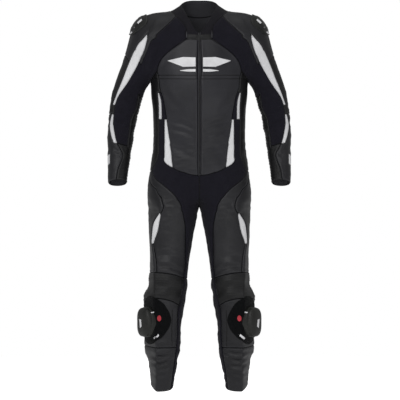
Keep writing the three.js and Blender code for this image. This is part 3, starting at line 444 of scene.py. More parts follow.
LEG_KINDS = {"thigh_front", "thigh_outer", "thigh_flash", "seat", "over_knee", "knee", "shin",
             "calf_inner", "calf", "stretch"}


def kind_of(name):
    return name.removesuffix("_left").removesuffix("_right")


PANELS = [name for name in frame["nodes"] if kind_of(name) in FINISH_OF]
print("panels", len(PANELS))

# %% Outer side of each wall
WALL = 2 * MM
WELD = 0.01 * MM
# faces that meet at more than this angle are on different sides of the wall
CORNER_ANGLE = math.radians(52)
# middle lines of the left sleeve and leg: x, y, z in mm
SLEEVE_LINE = [(120, 0, -60), (205, 10, -110), (245, 14, -200), (280, 18, -300), (290, 0, -400),
               (297, -25, -500), (303, -60, -620)]
LEG_LINE = [(95, 5, -600), (98, 5, -700), (105, -5, -800), (118, -27, -940), (132, -35, -1070),
            (137, -12, -1210), (139, 25, -1380)]


def on_line(line, point, side):
    """The point of a limb's middle line that is level with a point."""
    z = point.z / MM
    rows = [(x * side, y, high) for x, y, high in line]
    for (x0, y0, z0), (x1, y1, z1) in zip(rows, rows[1:]):
        if z >= z1:
            share = min(max((z - z0) / (z1 - z0), 0), 1)
            return Vector((x0 + share * (x1 - x0), y0 + share * (y1 - y0), z0 + share * (z1 - z0))) * MM
    return Vector(rows[-1]) * MM


def middle_of(name, point):
    side = 1 if point.x > 0 else -1
    kind = kind_of(name)
    if kind in SLEEVE_KINDS:
        return on_line(SLEEVE_LINE, point, side)
    if kind in LEG_KINDS and point.z < -600 * MM:
        return on_line(LEG_LINE, point, side)
    return Vector((0, 0, point.z))


def outer_side(name):
    """Corner lists of the outer faces of a panel's wall, and how many faces it has in all.

    A group of faces is kept when it looks away from the limb's middle and most of it has the wall's
    other side just behind it, so the narrow rims fall out.
    """
    wall = bmesh.new()
    wall.from_mesh(bpy.data.objects[name].data)
    bmesh.ops.remove_doubles(wall, verts=wall.verts, dist=WELD)
    wall.faces.ensure_lookup_table()
    tree = BVHTree.FromBMesh(wall)
    groups = []
    left = set(range(len(wall.faces)))
    while left:
        stack = [left.pop()]
        group = []
        while stack:
            index = stack.pop()
            group.append(index)
            for edge in wall.faces[index].edges:
                for other in edge.link_faces:
                    if other.index in left and edge.calc_face_angle(math.pi) < CORNER_ANGLE:
                        left.remove(other.index)
                        stack.append(other.index)
        groups.append(group)
    kept = []
    for group in groups:
        vote, area, backed = 0.0, 0.0, 0.0
        for index in group:
            face = wall.faces[index]
            centre = face.calc_center_median()
            area += face.calc_area()
            vote += face.calc_area() * face.normal.dot((centre - middle_of(name, centre)).normalized())
            start = centre - face.normal * 0.05 * MM
            hit, normal, _, reach = tree.ray_cast(start, -face.normal, 1.35 * WALL)
            if hit and reach > 0.5 * WALL and normal.dot(face.normal) < -0.2:
                backed += face.calc_area()
        if vote > 0 and backed > 0.4 * area:
            kept += group
    corners = [[tuple(v.co) for v in wall.faces[index].verts] for index in kept]
    count = len(wall.faces)
    wall.free()
    return corners, count


skin = bmesh.new()
for number, name in enumerate(PANELS):
    corners, count = outer_side(name)
    for triangle in corners:
        face = skin.faces.new([skin.verts.new(corner) for corner in triangle])
        face.material_index = number
    if not 0.15 < len(corners) / count < 0.5:
        print("look at", name, len(corners), "outer faces of", count)
SEAM_GAP_CLOSED = 0.75 * MM
bmesh.ops.remove_doubles(skin, verts=skin.verts, dist=SEAM_GAP_CLOSED)
bmesh.ops.join_triangles(skin, faces=skin.faces, cmp_materials=True, angle_face_threshold=0.9,
                         angle_shape_threshold=1.2)
loose = [edge for edge in skin.edges if len(edge.link_faces) > 2]
sizes = [len(face.verts) for face in skin.faces]
print("skin faces", len(sizes), "triangles left", sizes.count(3), "bad edges", len(loose))

# %% [markdown]
# Subdivision turns the coarse faces into a smooth skin with a point every 4 mm. A face keeps its panel
# through it. The edges between two panels are the seams, and each point then learns how far it is
# from the nearest seam and how far along that seam, for grooves, stitches and rubbed edges.
#
# Smoothing draws a rounded form inwards, so the corners are first moved out by what they would lose.

# %% Smooth skin
def new_object(name, mesh, *materials):
    thing = bpy.data.objects.new(name, mesh)
    bpy.context.scene.collection.objects.link(thing)
    for material in materials:
        mesh.materials.append(material)
    return thing


def vertex_values(mesh, name="co"):
    values = np.zeros(len(mesh.vertices) * 3)
    mesh.vertices.foreach_get(name, values)
    return values


skin_mesh = bpy.data.meshes.new("skin")
skin.to_mesh(skin_mesh)
skin.free()
skin_object = new_object("skin", skin_mesh, *[FINISH_OF[kind_of(name)] for name in PANELS])
CORNERS = vertex_values(skin_mesh)
smoothing = skin_object.modifiers.new("smooth", "SUBSURF")
smoothing.levels = smoothing.render_levels = 3
smoothing.boundary_smooth = "PRESERVE_CORNERS"

moved = CORNERS.copy()
for _ in range(3):
    skin_mesh.vertices.foreach_set("co", moved)
    skin_mesh.update()
    smooth = skin_object.evaluated_get(bpy.context.evaluated_depsgraph_get()).to_mesh()
    moved += 0.85 * (CORNERS - vertex_values(smooth)[:len(CORNERS)])
skin_mesh.vertices.foreach_set("co", moved)
skin_mesh.update()
apply_modifiers(skin_object)
skin_mesh = skin_object.data

POINTS = vertex_values(skin_mesh).reshape(-1, 3)
NORMALS = vertex_values(skin_mesh, "normal").reshape(-1, 3)

edge_panels = {}
point_panels = [set() for _ in POINTS]
for face in skin_mesh.polygons:
    for key in face.edge_keys:
        edge_panels.setdefault(key, []).append(face.material_index)
    for index in face.vertices:
        point_panels[index].add(face.material_index)
SEAM_EDGES = [key for key, panels in edge_panels.items() if len(panels) == 1 or len(set(panels)) > 1]

# Corners left by the rings are rounded first. Then the hollows between the neck and the shoulder are
# filled until the leather spans them, as on a body.
links = np.array(list(edge_panels))
count = np.bincount(links.ravel(), minlength=len(POINTS))[:, None]


def lift_to_middle():
    """How far each point lies below the middle of its neighbours, along its normal."""
    total = np.zeros_like(POINTS)
    np.add.at(total, links[:, 0], POINTS[links[:, 1]])
    np.add.at(total, links[:, 1], POINTS[links[:, 0]])
    return ((total / count - POINTS) * NORMALS).sum(axis=1)


ROUNDING = 16
FILLING = 160
for _ in range(ROUNDING):
    POINTS += NORMALS * (0.8 * lift_to_middle())[:, None]
SHOULDER_LOW, SHOULDER_FADE, NECK_HALF = -170 * MM, 80 * MM, 60 * MM
near_top = np.clip((POINTS[:, 2] - SHOULDER_LOW) / SHOULDER_FADE, 0, 1)
near_top *= np.abs(POINTS[:, 0]) > NECK_HALF
for _ in range(FILLING):
    lift = lift_to_middle()
    lift = np.where(lift > 0, lift, lift * 0.02) * near_top
    POINTS += NORMALS * (0.9 * lift)[:, None]
print("skin points", len(POINTS), "seam edges", len(SEAM_EDGES))

# %% Seam distance
FAR = 9.0
seam_points = sorted({index for key in SEAM_EDGES for index in key})
next_to = {index: [] for index in seam_points}
for first, second in SEAM_EDGES:
    next_to[first].append(second)
    next_to[second].append(first)

run_along = {}
ends = [index for index in seam_points if len(next_to[index]) != 2]
for start in ends + seam_points:
    for step in next_to[start]:
        if (start, step) in run_along or (step, start) in run_along:
            continue
        previous, here, length = start, step, 0.0
        while True:
            gap = float(np.linalg.norm(POINTS[here] - POINTS[previous]))
            run_along[(previous, here)] = (length, gap)
            length += gap
            if len(next_to[here]) != 2 or here == start:
                break
            following = [index for index in next_to[here] if index != previous]
            if not following or (here, following[0]) in run_along:
                break
            previous, here = here, following[0]

seam_tree = KDTree(len(run_along))
runs = list(run_along.items())
for number, ((first, second), _) in enumerate(runs):
    seam_tree.insert((POINTS[first] + POINTS[second]) / 2, number)
seam_tree.balance()

SEAM_AWAY = np.zeros(len(POINTS))
SEAM_ALONG = np.zeros(len(POINTS))
for index, point in enumerate(POINTS):
    best = (FAR, 0.0)
    for _, number, reach in seam_tree.find_n(point, 3):
        (first, second), (length, gap) = runs[number]
        start, line = POINTS[first], POINTS[second] - POINTS[first]
        share = min(max(float(np.dot(point - start, line)) / max(gap * gap, 1e-12), 0), 1)
        away = float(np.linalg.norm(point - start - share * line))
        if away < best[0]:
            best = (away, length + share * gap)
    SEAM_AWAY[index], SEAM_ALONG[index] = best
print("seam length", round(sum(gap for _, gap in run_along.values()), 2), "m")

# %% [markdown]
# Leather on a bent limb gathers into rolls across the inner side of the bend, and runs out in long
# diagonal pulls from the points that hold it, such as the armpit, the crotch and the knee. The largest
# of these are placed one by one, as lines read off the photograph. A trough sinks along its line and
# the leather beside it swells. The small ones come from noise that is stretched across the limb,
# strongest near the joints. Every fold is soft and they're all different.

# %% Folds placed one by one
MIDDLE_COLUMN = 199.3
ORIGIN_ROW = 20
FOLD_DEPTH = 1.35


def from_photo(column, row):
    """A place in the front view, in metres, from the photograph's pixels."""
    return ((column - MIDDLE_COLUMN) * PIXEL, (ORIGIN_ROW - row) * PIXEL)


def line_distance(points, line):
    """Distance in the front view from points to a line, and how far along it they are, 0 to 1."""
    best = np.full(len(points), FAR)
    along = np.zeros(len(points))
    lengths = [math.dist(a, b) for a, b in zip(line, line[1:])]
    done = 0.0
    for (a, b), length in zip(zip(line, line[1:]), lengths):
        start = np.array(a)
        step = np.array(b) - start
        share = np.clip(((points - start) @ step) / (length * length), 0, 1)
        away = np.linalg.norm(points - start - share[:, None] * step, axis=1)
        closer = away < best
        best[closer] = away[closer]
        along[closer] = (done + share[closer] * length) / sum(lengths)
        done += length
    return best, along


def soft_fold(line, depth, width):
    """Height change of one fold: negative depth is a trough, with a swelling on both its sides."""
    flat = POINTS[:, [0, 2]]
    away, along = line_distance(flat, [from_photo(*place) for place in line])
    facing = np.clip(-NORMALS[:, 1], 0, 1) ** 0.5
    fade = np.sin(np.clip(along, 0.02, 0.98) * math.pi) ** 0.6
    across = away / (width * MM)
    profile = np.exp(-across ** 2) - 0.45 * np.exp(-((across - 2.1) / 0.9) ** 2)
    return depth * MM * profile * facing * fade


# depth mm (below 0 is a trough), width mm, then the line in pixels of the photograph
FRONT_FOLDS = [
    # fold of the crotch panel below the zip
    (-2.4, 5, (193, 178), (196, 185), (198, 198)),
    # armpits
    (-4.0, 9, (151, 80), (153, 68), (157, 56), (163, 46)),
    (-3.4, 9, (247.5, 80), (245, 67), (241, 55), (236, 47)),
    # chest and belly
    (-1.6, 10, (165, 91), (171, 101), (180, 110)),
    (-1.4, 11, (233, 93), (228, 102), (219, 112)),
    (-1.9, 8, (168, 121), (182, 124), (196, 131)),
    (-1.7, 9, (230, 120), (217, 124), (203, 130)),
    (-1.4, 8, (170, 129), (184, 132), (195, 137)),
    (-1.5, 8, (229, 129), (214, 133), (203, 138)),
    (-1.2, 9, (176, 150), (186, 155), (196, 157)),
    # above the knees
    (-3.2, 7, (150, 270), (160, 266), (169, 266), (184, 272)),
    (-3.0, 7, (215, 272), (228, 266), (238, 266), (248, 270)),
    (-2.0, 9, (152, 258), (165, 254), (180, 257)),
    (-1.8, 9, (218, 258), (232, 255), (246, 258)),
    # inner thighs
    (-1.8, 8, (186, 226), (187, 240), (188, 255)),
    (-2.0, 8, (213, 228), (212, 244), (212, 260)),
    # shins
    (-3.0, 7, (147, 346), (158, 347), (170, 344)),
    (-4.2, 7, (148, 355), (163, 357), (176, 352)),
    (-4.0, 6, (149, 362), (160, 364.5), (171, 360)),
    (-2.6, 6, (158, 368), (166, 368), (174, 364)),
    (-2.0, 6, (152, 374), (160, 376), (168, 373)),
    (-3.0, 7, (225, 344), (238, 347), (251, 344)),
    (-4.0, 7, (223, 350), (235, 353.5), (250, 351)),
    (-3.6, 6, (224, 357), (238, 360.5), (249, 357)),
    (-3.0, 6, (226, 365), (241, 366.5), (249, 362)),
    (-2.0, 6, (228, 372), (240, 375), (247, 371)),
    # sleeves
    (-2.6, 7, (124, 96), (129, 101), (133, 103)),
    (-2.4, 6, (117, 108), (124, 112), (131, 111)),
    (-2.6, 6, (114, 119), (121, 122), (129, 120)),
    (-2.4, 6, (114, 130), (120, 134), (128, 133)),
    (-2.0, 6, (113, 148), (118, 152), (124, 150)),
    (-2.6, 7, (275, 96), (270, 101), (266, 103)),
    (-2.4, 6, (282, 108), (275, 112), (268, 111)),
    (-2.6, 6, (285, 119), (278, 122), (270, 120)),
    (-2.4, 6, (285, 130), (279, 134), (271, 133)),
    (-2.2, 6, (286, 150), (281, 155), (275, 153)),
]
# pairs of stitched lines inside a panel: half the gap between them in mm, then the line between them
FRONT_LINES = [
    (6.5, (150, 77.3), (199, 77.9), (249, 77.3)),
    (12.4, (176, 309), (175.2, 328), (175.4, 346)),
    (12.4, (222.6, 309), (223.4, 328), (223.2, 346)),
]
HEIGHT = np.zeros(len(POINTS))
for depth, width, *line in FRONT_FOLDS:
    HEIGHT += FOLD_DEPTH * soft_fold(line, depth, width)


LINE_REACH = 30 * MM


def side_of_line(line):
    """Signed distance from a line of the front view, where a point is level with it."""
    flat = POINTS[:, [0, 2]]
    signed = np.full(len(flat), 1.0)
    for a, b in zip(line, line[1:]):
        start = np.array(from_photo(*a))
        step = np.array(from_photo(*b)) - start
        share = ((flat - start) @ step) / (step @ step)
        offset = ((flat - start) @ np.array([-step[1], step[0]])) / np.linalg.norm(step)
        level = (share > 0) & (share <= 1) & (np.abs(offset) < LINE_REACH) & (NORMALS[:, 1] < -0.1)
        signed[level] = offset[level]
    return signed


LINE_SIDE = np.full(len(POINTS), 1.0)
LINE_GAP = np.zeros(len(POINTS))
for gap, *line in FRONT_LINES:
    signed = side_of_line(line)
    near = np.abs(signed) < LINE_REACH
    LINE_SIDE[near] = signed[near]
    LINE_GAP[near] = gap * MM
print("points by a stitched line", int((LINE_GAP > 0).sum()))

# %% Wrinkles from noise
def limb_noise(scale, offset):
    """Soft noise at each point, scale in waves a metre along x, y, z."""
    return np.array([noise.noise(Vector((p[0] * scale[0] + offset, p[1] * scale[1], p[2] * scale[2])))
                     for p in POINTS])


X, Z = np.abs(POINTS[:, 0]), POINTS[:, 2]
panel_kind = [kind_of(name) for name in PANELS]
IS_SLEEVE = np.array([any(panel_kind[n] in SLEEVE_KINDS for n in panels) for panels in point_panels])


def around(values, centre, reach):
    return np.exp(-((values - centre * MM) / (reach * MM)) ** 2)


ENVELOPES = {
    # which points, then height of the middle, reach and strength in mm
    "sleeve": (IS_SLEEVE, [(-150, 50, 0.9), (-330, 70, 1.8), (-420, 60, 1.5), (-540, 60, 1.2)]),
    "body": (~IS_SLEEVE & (Z > -0.62), [(-480, 90, 1.3), (-600, 50, 1.2), (-200, 120, 0.4)]),
    "leg": (~IS_SLEEVE & (Z <= -0.62), [(-700, 70, 1.5), (-870, 90, 0.8), (-1030, 60, 1.6),
                                        (-1180, 60, 1.2), (-1300, 80, 1.8), (-1400, 40, 1.4)]),
}
coarse = limb_noise((9.0, 9.0, 30.0), 3.0)
fine = limb_noise((22.0, 22.0, 62.0), 11.0)
diagonal = np.array([noise.noise(Vector((p[0] * 14 + 5, p[1] * 14, p[2] * 26 + abs(p[0]) * 30)))
                     for p in POINTS])
rolls = 0.9 - 2.4 * np.abs(coarse) + 0.8 * (0.5 - 1.6 * np.abs(fine)) + 0.7 * diagonal
for mask, rows in ENVELOPES.values():
    strength = sum(amount * around(Z, centre, reach) for centre, reach, amount in rows)
    HEIGHT += np.where(mask, strength * rolls, 0) * MM
HEIGHT *= np.clip(SEAM_AWAY / (14 * MM), 0.25, 1)

# %% Ribs and seams
# pitch and rise of the ribs, mm
RIBBED = {"over_knee": (9.0, 1.3), "inner_forearm": (11.0, 2.0)}
for kind, (pitch, rise) in RIBBED.items():
    ribbed = np.array([any(panel_kind[n] == kind for n in panels) for panels in point_panels])
    rib_wave = np.abs(np.sin(Z / (pitch * MM) * math.pi + 0.8 * np.sin(X * 50 + Z * 9)))
    HEIGHT += np.where(ribbed, rise * MM * (rib_wave - 0.5) * np.clip(SEAM_AWAY / (8 * MM), 0, 1), 0)
# a groove along each seam and a soft roll beside it: depth or height, and width, in mm
GROOVE, GROOVE_WIDTH = -1.5, 1.6
ROLL, ROLL_AWAY, ROLL_WIDTH = 0.7, 6.0, 4.0
groove = GROOVE * np.exp(-(SEAM_AWAY / (GROOVE_WIDTH * MM)) ** 2)
roll = ROLL * np.exp(-((SEAM_AWAY - ROLL_AWAY * MM) / (ROLL_WIDTH * MM)) ** 2)
HEIGHT += (groove + roll) * MM

POINTS_SHAPED = POINTS + NORMALS * HEIGHT[:, None]
print("height from", round(HEIGHT.min() * 1000, 1), "to", round(HEIGHT.max() * 1000, 1), "mm")

# %% [markdown]
# Now the skin is cut apart along its seams, one piece for each panel that a maker would cut. Each piece
# gets the thickness of its leather or cloth on the inside, with a dark lining there. The flat cut of a
# panel is its area before the creases are pressed in, because creasing doesn't change the leather.

# %% Cut the panels apart
CLOTH_THICKNESS = 1.5 * MM
# share of its rectangle that a panel fills
CUT_SHARE = 0.82
FACE_PANEL = np.zeros(len(skin_mesh.polygons), dtype=int)
skin_mesh.polygons.foreach_get("material_index", FACE_PANEL)
FACE_CORNERS = [tuple(face.vertices) for face in skin_mesh.polygons]


def mesh_area(points, faces):
    total = 0.0
    for corners in faces:
        a, b, c = (points[i] for i in corners[:3])
        total += np.linalg.norm(np.cross(b - a, c - a)) / 2
        if len(corners) == 4:
            d = points[corners[3]]
            total += np.linalg.norm(np.cross(c - a, d - a)) / 2
    return total


def float_attribute(mesh, name, values):
    layer = mesh.attributes.new(name, "FLOAT", "POINT")
    layer.data.foreach_set("value", np.asarray(values, dtype=np.float32))


CLOTH = {}
for number, name in enumerate(PANELS):
    faces = [FACE_CORNERS[i] for i in np.nonzero(FACE_PANEL == number)[0]]
    used = sorted({index for corners in faces for index in corners})
    renumber = {index: place for place, index in enumerate(used)}
    mesh = bpy.data.meshes.new(name + "_cloth")
    mesh.from_pydata(POINTS_SHAPED[used].tolist(), [],
                     [[renumber[index] for index in corners] for corners in faces])
    float_attribute(mesh, "seam", SEAM_AWAY[used])
    float_attribute(mesh, "along", SEAM_ALONG[used])
    float_attribute(mesh, "line", LINE_SIDE[used])
    float_attribute(mesh, "gap", LINE_GAP[used])
    finish = FINISH_OF[kind_of(name)]
    piece = new_object(name + "_cloth", mesh, finish, LINING_CLOTH)
    wall = piece.modifiers.new("wall", "SOLIDIFY")
    wall.thickness = CLOTH_THICKNESS
    wall.offset = -1
    wall.material_offset = 1
    wall.use_even_offset = False
    apply_modifiers(piece)
    for face in piece.data.polygons:
        face.use_smooth = True
    box = POINTS[used].max(axis=0) - POINTS[used].min(axis=0)
    area = mesh_area(POINTS, faces)
    length = max(float(max(box)), math.sqrt(area / CUT_SHARE))
    width = area / length / CUT_SHARE
    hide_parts(name)
    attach(piece, "root")
    CLOTH[name] = piece
    print(name, "cut", round(width * 1000), "x", round(length * 1000), "mm, area", round(area * 1e4), "cm2")
SKIN_TREE = BVHTree.FromPolygons(POINTS_SHAPED.tolist(), FACE_CORNERS)
bpy.data.objects.remove(skin_object)

# %% [markdown]
# The hard parts sit on the leather, so they follow it. Each one is modelled flat from a circle, with
# its steps made by extruding and insetting, and is then laid on the suit: a line is dropped from
# every point of its foot onto the skin. Higher points keep the part's own moulded form.

# %% Laying helpers
def edit_mode(thing):
    select_only(thing)
    bpy.ops.object.mode_set(mode="EDIT")
    bpy.ops.mesh.select_all(action="SELECT")


def object_mode():
    bpy.ops.object.mode_set(mode="OBJECT")


def stepped_disc(name, steps, corners=56):
    """A disc of radius 1. Each step is (inset, rise): the top face shrinks and rises."""
    deselect()
    bpy.ops.mesh.primitive_circle_add(vertices=corners, radius=1.0, fill_type="NGON")
    disc = bpy.context.object
    disc.name = name
    edit_mode(disc)
    for inset, rise in steps:
        if inset > 0:
            bpy.ops.mesh.inset(thickness=inset)
        if rise:
            if inset > 0:
                bpy.ops.transform.translate(value=(0, 0, rise))
            else:
                bpy.ops.mesh.extrude_region_move(TRANSFORM_OT_translate={"value": (0, 0, rise)})
    bpy.ops.mesh.poke()
    object_mode()
    return disc


REACH = 120 * MM


class Place:
    """Where a laid part sits: its middle in mm, and its own directions across, up and out.

    aim turns it outwards from the front, and up tips it upwards, in degrees. The wearer's left has
    side 1 and the right -1.
    """

    def __init__(self, middle, aim, up, side):
        turn = Matrix.Rotation(math.radians(aim) * side, 3, "Z")
        turn = turn @ Matrix.Rotation(math.radians(-up), 3, "X")
        self.out = turn @ Vector((0, -1, 0))
        self.across = turn @ Vector((1, 0, 0))
        self.up = turn @ Vector((0, 0, 1))
        x, y, z = middle
        self.middle = Vector((x * side, y, z)) * MM

    def drop(self, u, v):
        """The skin under a point of the part's plane, and the way out of it there."""
        start = self.flat(u, v, REACH)
        hit, normal, _, _ = SKIN_TREE.ray_cast(start, -self.out, 2 * REACH)
        if hit is None or normal.dot(self.out) < 0.08:
            hit, normal, _, _ = SKIN_TREE.find_nearest(start - self.out * REACH)
        return hit, normal

    def flat(self, u, v, height):
        return self.middle + self.across * u + self.up * v + self.out * height


def rounded(x, y, power):
    """A point of the unit disc moved onto a squarer disc."""
    away = math.hypot(x, y)
    if away < 1e-9:
        return x, y
    c, s = abs(x) / away, abs(y) / away
    grow = (c ** power + s ** power) ** (-1 / power)
    return x * grow, y * grow


def finish_part(part, node, finish, smooth=35):
    select_only(part)
    part.data.materials.clear()
    part.data.materials.append(finish)
    edit_mode(part)
    bpy.ops.mesh.normals_make_consistent(inside=False)
    object_mode()
    bpy.ops.object.shade_smooth_by_angle(angle=math.radians(smooth))
    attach(part, "root")
    if node:
        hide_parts(node)


def laid_disc(name, place, wide, tall, power, steps, lift, finish, node=None, follow=1.0, shape=None):
    """A stepped disc laid on the skin, wide and tall in mm from its middle.

    power squares its outline, and follow is how closely its top follows the skin.
    """
    disc = stepped_disc(name, [(inset, rise * MM) for inset, rise in steps])
    for point in disc.data.vertices:
        x, y = rounded(point.co.x, point.co.y, power)
        if shape:
            x, y = shape(x, y)
        u, v, height = x * wide * MM, y * tall * MM, point.co.z
        hit, normal = place.drop(u, v)
        way = (place.out * 0.6 + normal * 0.4).normalized()
        laid = hit + way * (height + lift * MM)
        share = follow if height > 1e-6 else 1.0
        point.co = laid * share + place.flat(u, v, height) * (1 - share)
    finish_part(disc, node, finish)


# %% [markdown]
# The knee patch is a round of loop pile, sewn on so that the slider can be pulled off and turned. The
# slider is a block of hard plastic with rounded corners, thickest in the middle where it touches the
# road, on a soft foot that holds the pile.

# %% Knee patches and sliders
SIDES = ((1, "left"), (-1, "right"))
# steps of the parts: inset as a share of the half width, rise in mm
PATCH_STEPS = [(0.0, 1.2), (0.012, 0.6), (0.03, 0.0), (0.012, -0.5), (0.012, 0.5)] + [(0.08, 0.05)] * 10
for side, hand in SIDES:
    place = Place((181, -71, -1115), aim=42, up=0, side=side)
    laid_disc(f"knee_patch_{hand}_pile", place, 76, 90, 2.05, PATCH_STEPS, 1.6, LOOP_PILE,
              f"knee_patch_{hand}", shape=lambda x, y: (x - side * 0.14 * y, y))
print("patches laid")

SLIDER_STEPS = [(0.0, 5), (0.02, 1.5), (0.02, 0.5), (0.0, 7), (0.02, 3.5), (0.04, 3.5), (0.07, 3.2),
                (0.1, 2.6), (0.15, 2.0), (0.18, 1.2), (0.18, 0.4)]


def slider_shape(x, y, inner):
    """The slider is cut away below on its inner side, and a little narrower at the top."""
    x *= inner
    lower = max(0.0, -y - 0.1)
    x -= 0.42 * lower * (x + 1) / 2 + 0.05 * max(0.0, y)
    return x * inner, y


for side, hand in SIDES:
    place = Place((196, -84, -1122), aim=52, up=0, side=side)
    laid_disc(f"knee_slider_{hand}_block", place, 41, 56, 3.0, SLIDER_STEPS, 2.2, SLIDER_PLASTIC,
              f"knee_slider_{hand}", follow=0.25, shape=lambda x, y: slider_shape(x, y, -side))
print("sliders laid")

# %% [markdown]
# The shoulder cups are thin moulded shells over the leather, with a raised rim, a sunken band across
# them and a screw in the middle. They slide on the road, so they have no sharp edge.

# %% Shoulder cups
CUP_STEPS = [(0.0, 3.2), (0.03, 0.9), (0.05, 0.0), (0.03, -0.8), (0.16, 0.6), (0.05, 1.2), (0.04, 0.0),
             (0.2, 0.6), (0.06, -0.9), (0.12, 0.2)]
for side, hand in SIDES:
    place = Place((234, 6, -13), aim=90, up=40, side=side)
    laid_disc(f"shoulder_cup_{hand}_shell", place, 60, 49, 2.6, CUP_STEPS, 0.8, CUP_PLASTIC,
              f"shoulder_cup_{hand}")
    place = Place((240, -38, -30), aim=58, up=30, side=side)
    laid_disc(f"cup_screw_{hand}", place, 3.2, 3.2, 2.0,
                      [(0.0, 3.6), (0.2, 0.5), (0.35, 0.0), (0.1, -1.2)], 3.0, SCREW_METAL)
print("cups laid")

# %% [markdown]
# Marks on the suit are thin films pressed onto it, plain bars and dots. Each one is a small grid between
# two lines of the front view, dropped back onto the surface along the camera's own rays.

# %% Films and the collar tab, seen from the front
BEFORE = 600 * MM


def front_tree(*things):
    """One search tree over the faces of some pieces."""
    points, faces = [], []
    for thing in things:
        start = len(points)
        points += [v.co.copy() for v in thing.data.vertices]
        faces += [[index + start for index in face.vertices] for face in thing.data.polygons]
    return BVHTree.FromPolygons(points, faces)


def front_film(name, tree, top, low, finish=WHITE_PRINT, thick=0.6, lift=0.3, node=None,
               columns=16, rows=5, puff=0.0):
    """A film between a top and a low line, both in pixels of the photograph."""
    def along(line, share):
        at = share * (len(line) - 1)
        k = min(int(at), len(line) - 2)
        return [a + (b - a) * (at - k) for a, b in zip(line[k], line[k + 1])]

    deselect()
    bpy.ops.mesh.primitive_grid_add(x_subdivisions=columns, y_subdivisions=rows, size=2)
    film = bpy.context.object
    film.name = name
    for point in film.data.vertices:
        s, t = (point.co.x + 1) / 2, (point.co.y + 1) / 2
        (c0, r0), (c1, r1) = along(top, s), along(low, s)
        x, z = from_photo(c0 + (c1 - c0) * t, r0 + (r1 - r0) * t)
        look = (Vector((x, 0, z)) - camera.location).normalized()
        hit, normal, _, _ = tree.ray_cast(Vector((x, 0, z)) - look * BEFORE, look, 2 * BEFORE)
        if hit is None:
            hit, normal, _, _ = tree.find_nearest(Vector((x, -0.1, z)))
        edge = min(s, 1 - s, t, 1 - t) * 2
        point.co = hit + normal * (lift + puff * min(1.0, edge * 2.5) ** 0.5) * MM
    wall = film.modifiers.new("wall", "SOLIDIFY")
    wall.thickness = thick * MM
    wall.offset = 1
    apply_modifiers(film)
    for layer, value in (("seam", 0.1), ("along", 0.0), ("line", 1.0), ("gap", 0.0)):
        float_attribute(film.data, layer, [value] * len(film.data.vertices))
    finish_part(film, node, finish, smooth=50)


def mirrored(line):
    return [(2 * MIDDLE_COLUMN - c, r) for c, r in line]


SUIT_TREE = front_tree(*CLOTH.values())
# marks of the wearer's right half: name, top line, low line, and how it differs from a plain film
CHEST_MARKS = [
    ("chest_flash", [(195.6, 57.5), (183, 57.0), (168, 60.5)],
     [(195.6, 66.5), (183, 66.8), (168, 61.0)], {"thick": 0.5}),
    ("chest_bar", [(195.6, 69.0), (188, 69.2), (180, 70.4)],
     [(195.6, 71.6), (188, 71.6), (180, 70.8)], {"thick": 0.5, "rows": 3}),
]
KNEE_MARKS = [
    ("patch_dot", [(157.2, 317.6), (157.8, 316.0), (159.2, 315.2), (160.6, 316.0), (161.2, 317.6)],
     [(157.2, 319.0), (157.8, 320.6), (159.2, 321.4), (160.6, 320.6), (161.2, 319.0)],
     {"finish": RED_DOT, "columns": 8, "rows": 8, "thick": 0.8, "puff": 0.6}),
    ("patch_bar", [(153.4, 338.0), (158.2, 334.0)], [(154.6, 339.6), (159.2, 335.8)],
     {"columns": 8, "rows": 3}),
    ("slider_bar", [(151.0, 312.2), (154.0, 311.6)], [(151.2, 313.2), (154.0, 312.8)],
     {"columns": 6, "rows": 2}),
    ("slider_mark", [(139.2, 319.0), (141.0, 319.6)], [(140.0, 328.0), (141.6, 326.4)],
     {"columns": 4, "rows": 8}),
]
CUP_MARKS = [
    ("cup_bar", [(137.0, 22.6), (141.2, 18.8)], [(138.2, 23.8), (142.2, 20.2)],
     {"columns": 8, "rows": 3}),
    ("cup_mark", [(129.4, 33.4), (131.6, 31.2)], [(130.2, 34.4), (132.2, 32.4)],
     {"columns": 6, "rows": 3}),
]


def lay_marks(marks, tree, hand, flip):
    for name, top, low, settings in marks:
        front_film(f"{name}_{hand}", tree, flip(top), flip(low), **settings)


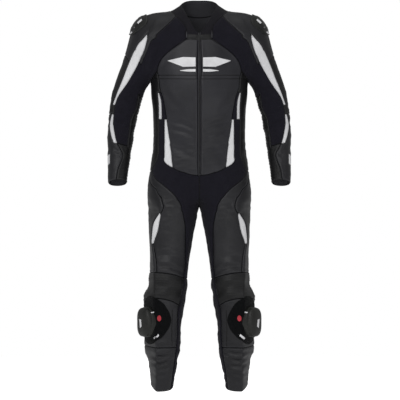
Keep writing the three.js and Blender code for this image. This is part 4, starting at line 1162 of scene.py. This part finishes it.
HANDS = (("right", lambda line: line), ("left", mirrored))
for hand, flip in HANDS:
    lay_marks(CHEST_MARKS, SUIT_TREE, hand, flip)
front_film("collar_tab_strap", SUIT_TREE, [(187.2, 34.2), (199.3, 34.8), (211.4, 34.2)],
           [(187.2, 39.4), (199.3, 40.0), (211.4, 39.4)], SIDE_LEATHER, thick=1.6, lift=0.6,
           node="collar_tab", columns=24, rows=6, puff=0.8)
for hand, flip in HANDS:
    ground = front_tree(bpy.data.objects[f"knee_patch_{hand}_pile"],
                        bpy.data.objects[f"knee_slider_{hand}_block"])
    lay_marks(KNEE_MARKS, ground, hand, flip)
    lay_marks(CUP_MARKS, front_tree(bpy.data.objects[f"shoulder_cup_{hand}_shell"]), hand, flip)
print("films laid")

# %% [markdown]
# The zip runs under the two front edges, so only a thin line of its teeth shows. One tooth is made from
# a cube, then copied down both sides of the line, shifted by half a step so that the two rows mesh.

# %% Zip teeth
TOOTH_STEP = 3.2 * MM
TOOTH_SIZE = (2.6, 1.4, 1.5)
ROW_AWAY = 0.9 * MM
SUNK = 0.3 * MM
zip_top, zip_low = (from_photo(MIDDLE_COLUMN, row)[1] for row in (40.6, 175.2))
deselect()
bpy.ops.mesh.primitive_cube_add(size=1)
tooth = bpy.context.object
tooth.name = "zip_tooth"
for point in tooth.data.vertices:
    point.co = Vector([c * size for c, size in zip(point.co, TOOTH_SIZE)]) * MM
edge = tooth.modifiers.new("edges", "BEVEL")
edge.width = 0.3 * MM
edge.segments = 1
apply_modifiers(tooth)
tooth_points = [v.co.copy() for v in tooth.data.vertices]
tooth_faces = [list(face.vertices) for face in tooth.data.polygons]
bpy.data.objects.remove(tooth)

points, faces = [], []
count = int((zip_top - zip_low) / TOOTH_STEP)
for number in range(count):
    for side in (1, -1):
        z = zip_top - (number + (0.5 if side > 0 else 0.0)) * TOOTH_STEP
        ahead = Vector((side * ROW_AWAY, -BEFORE, z))
        hit, _, _, _ = SKIN_TREE.ray_cast(ahead, Vector((0, 1, 0)), 2 * BEFORE)
        middle = Vector((side * ROW_AWAY, hit.y - SUNK, z))
        start = len(points)
        points += [middle + co for co in tooth_points]
        faces += [[index + start for index in face] for face in tooth_faces]
teeth_mesh = bpy.data.meshes.new("zip_teeth")
teeth_mesh.from_pydata(points, [], faces)
teeth = new_object("zip_teeth", teeth_mesh)
finish_part(teeth, None, ZIP_PLASTIC, smooth=30)
print("zip teeth", 2 * count)
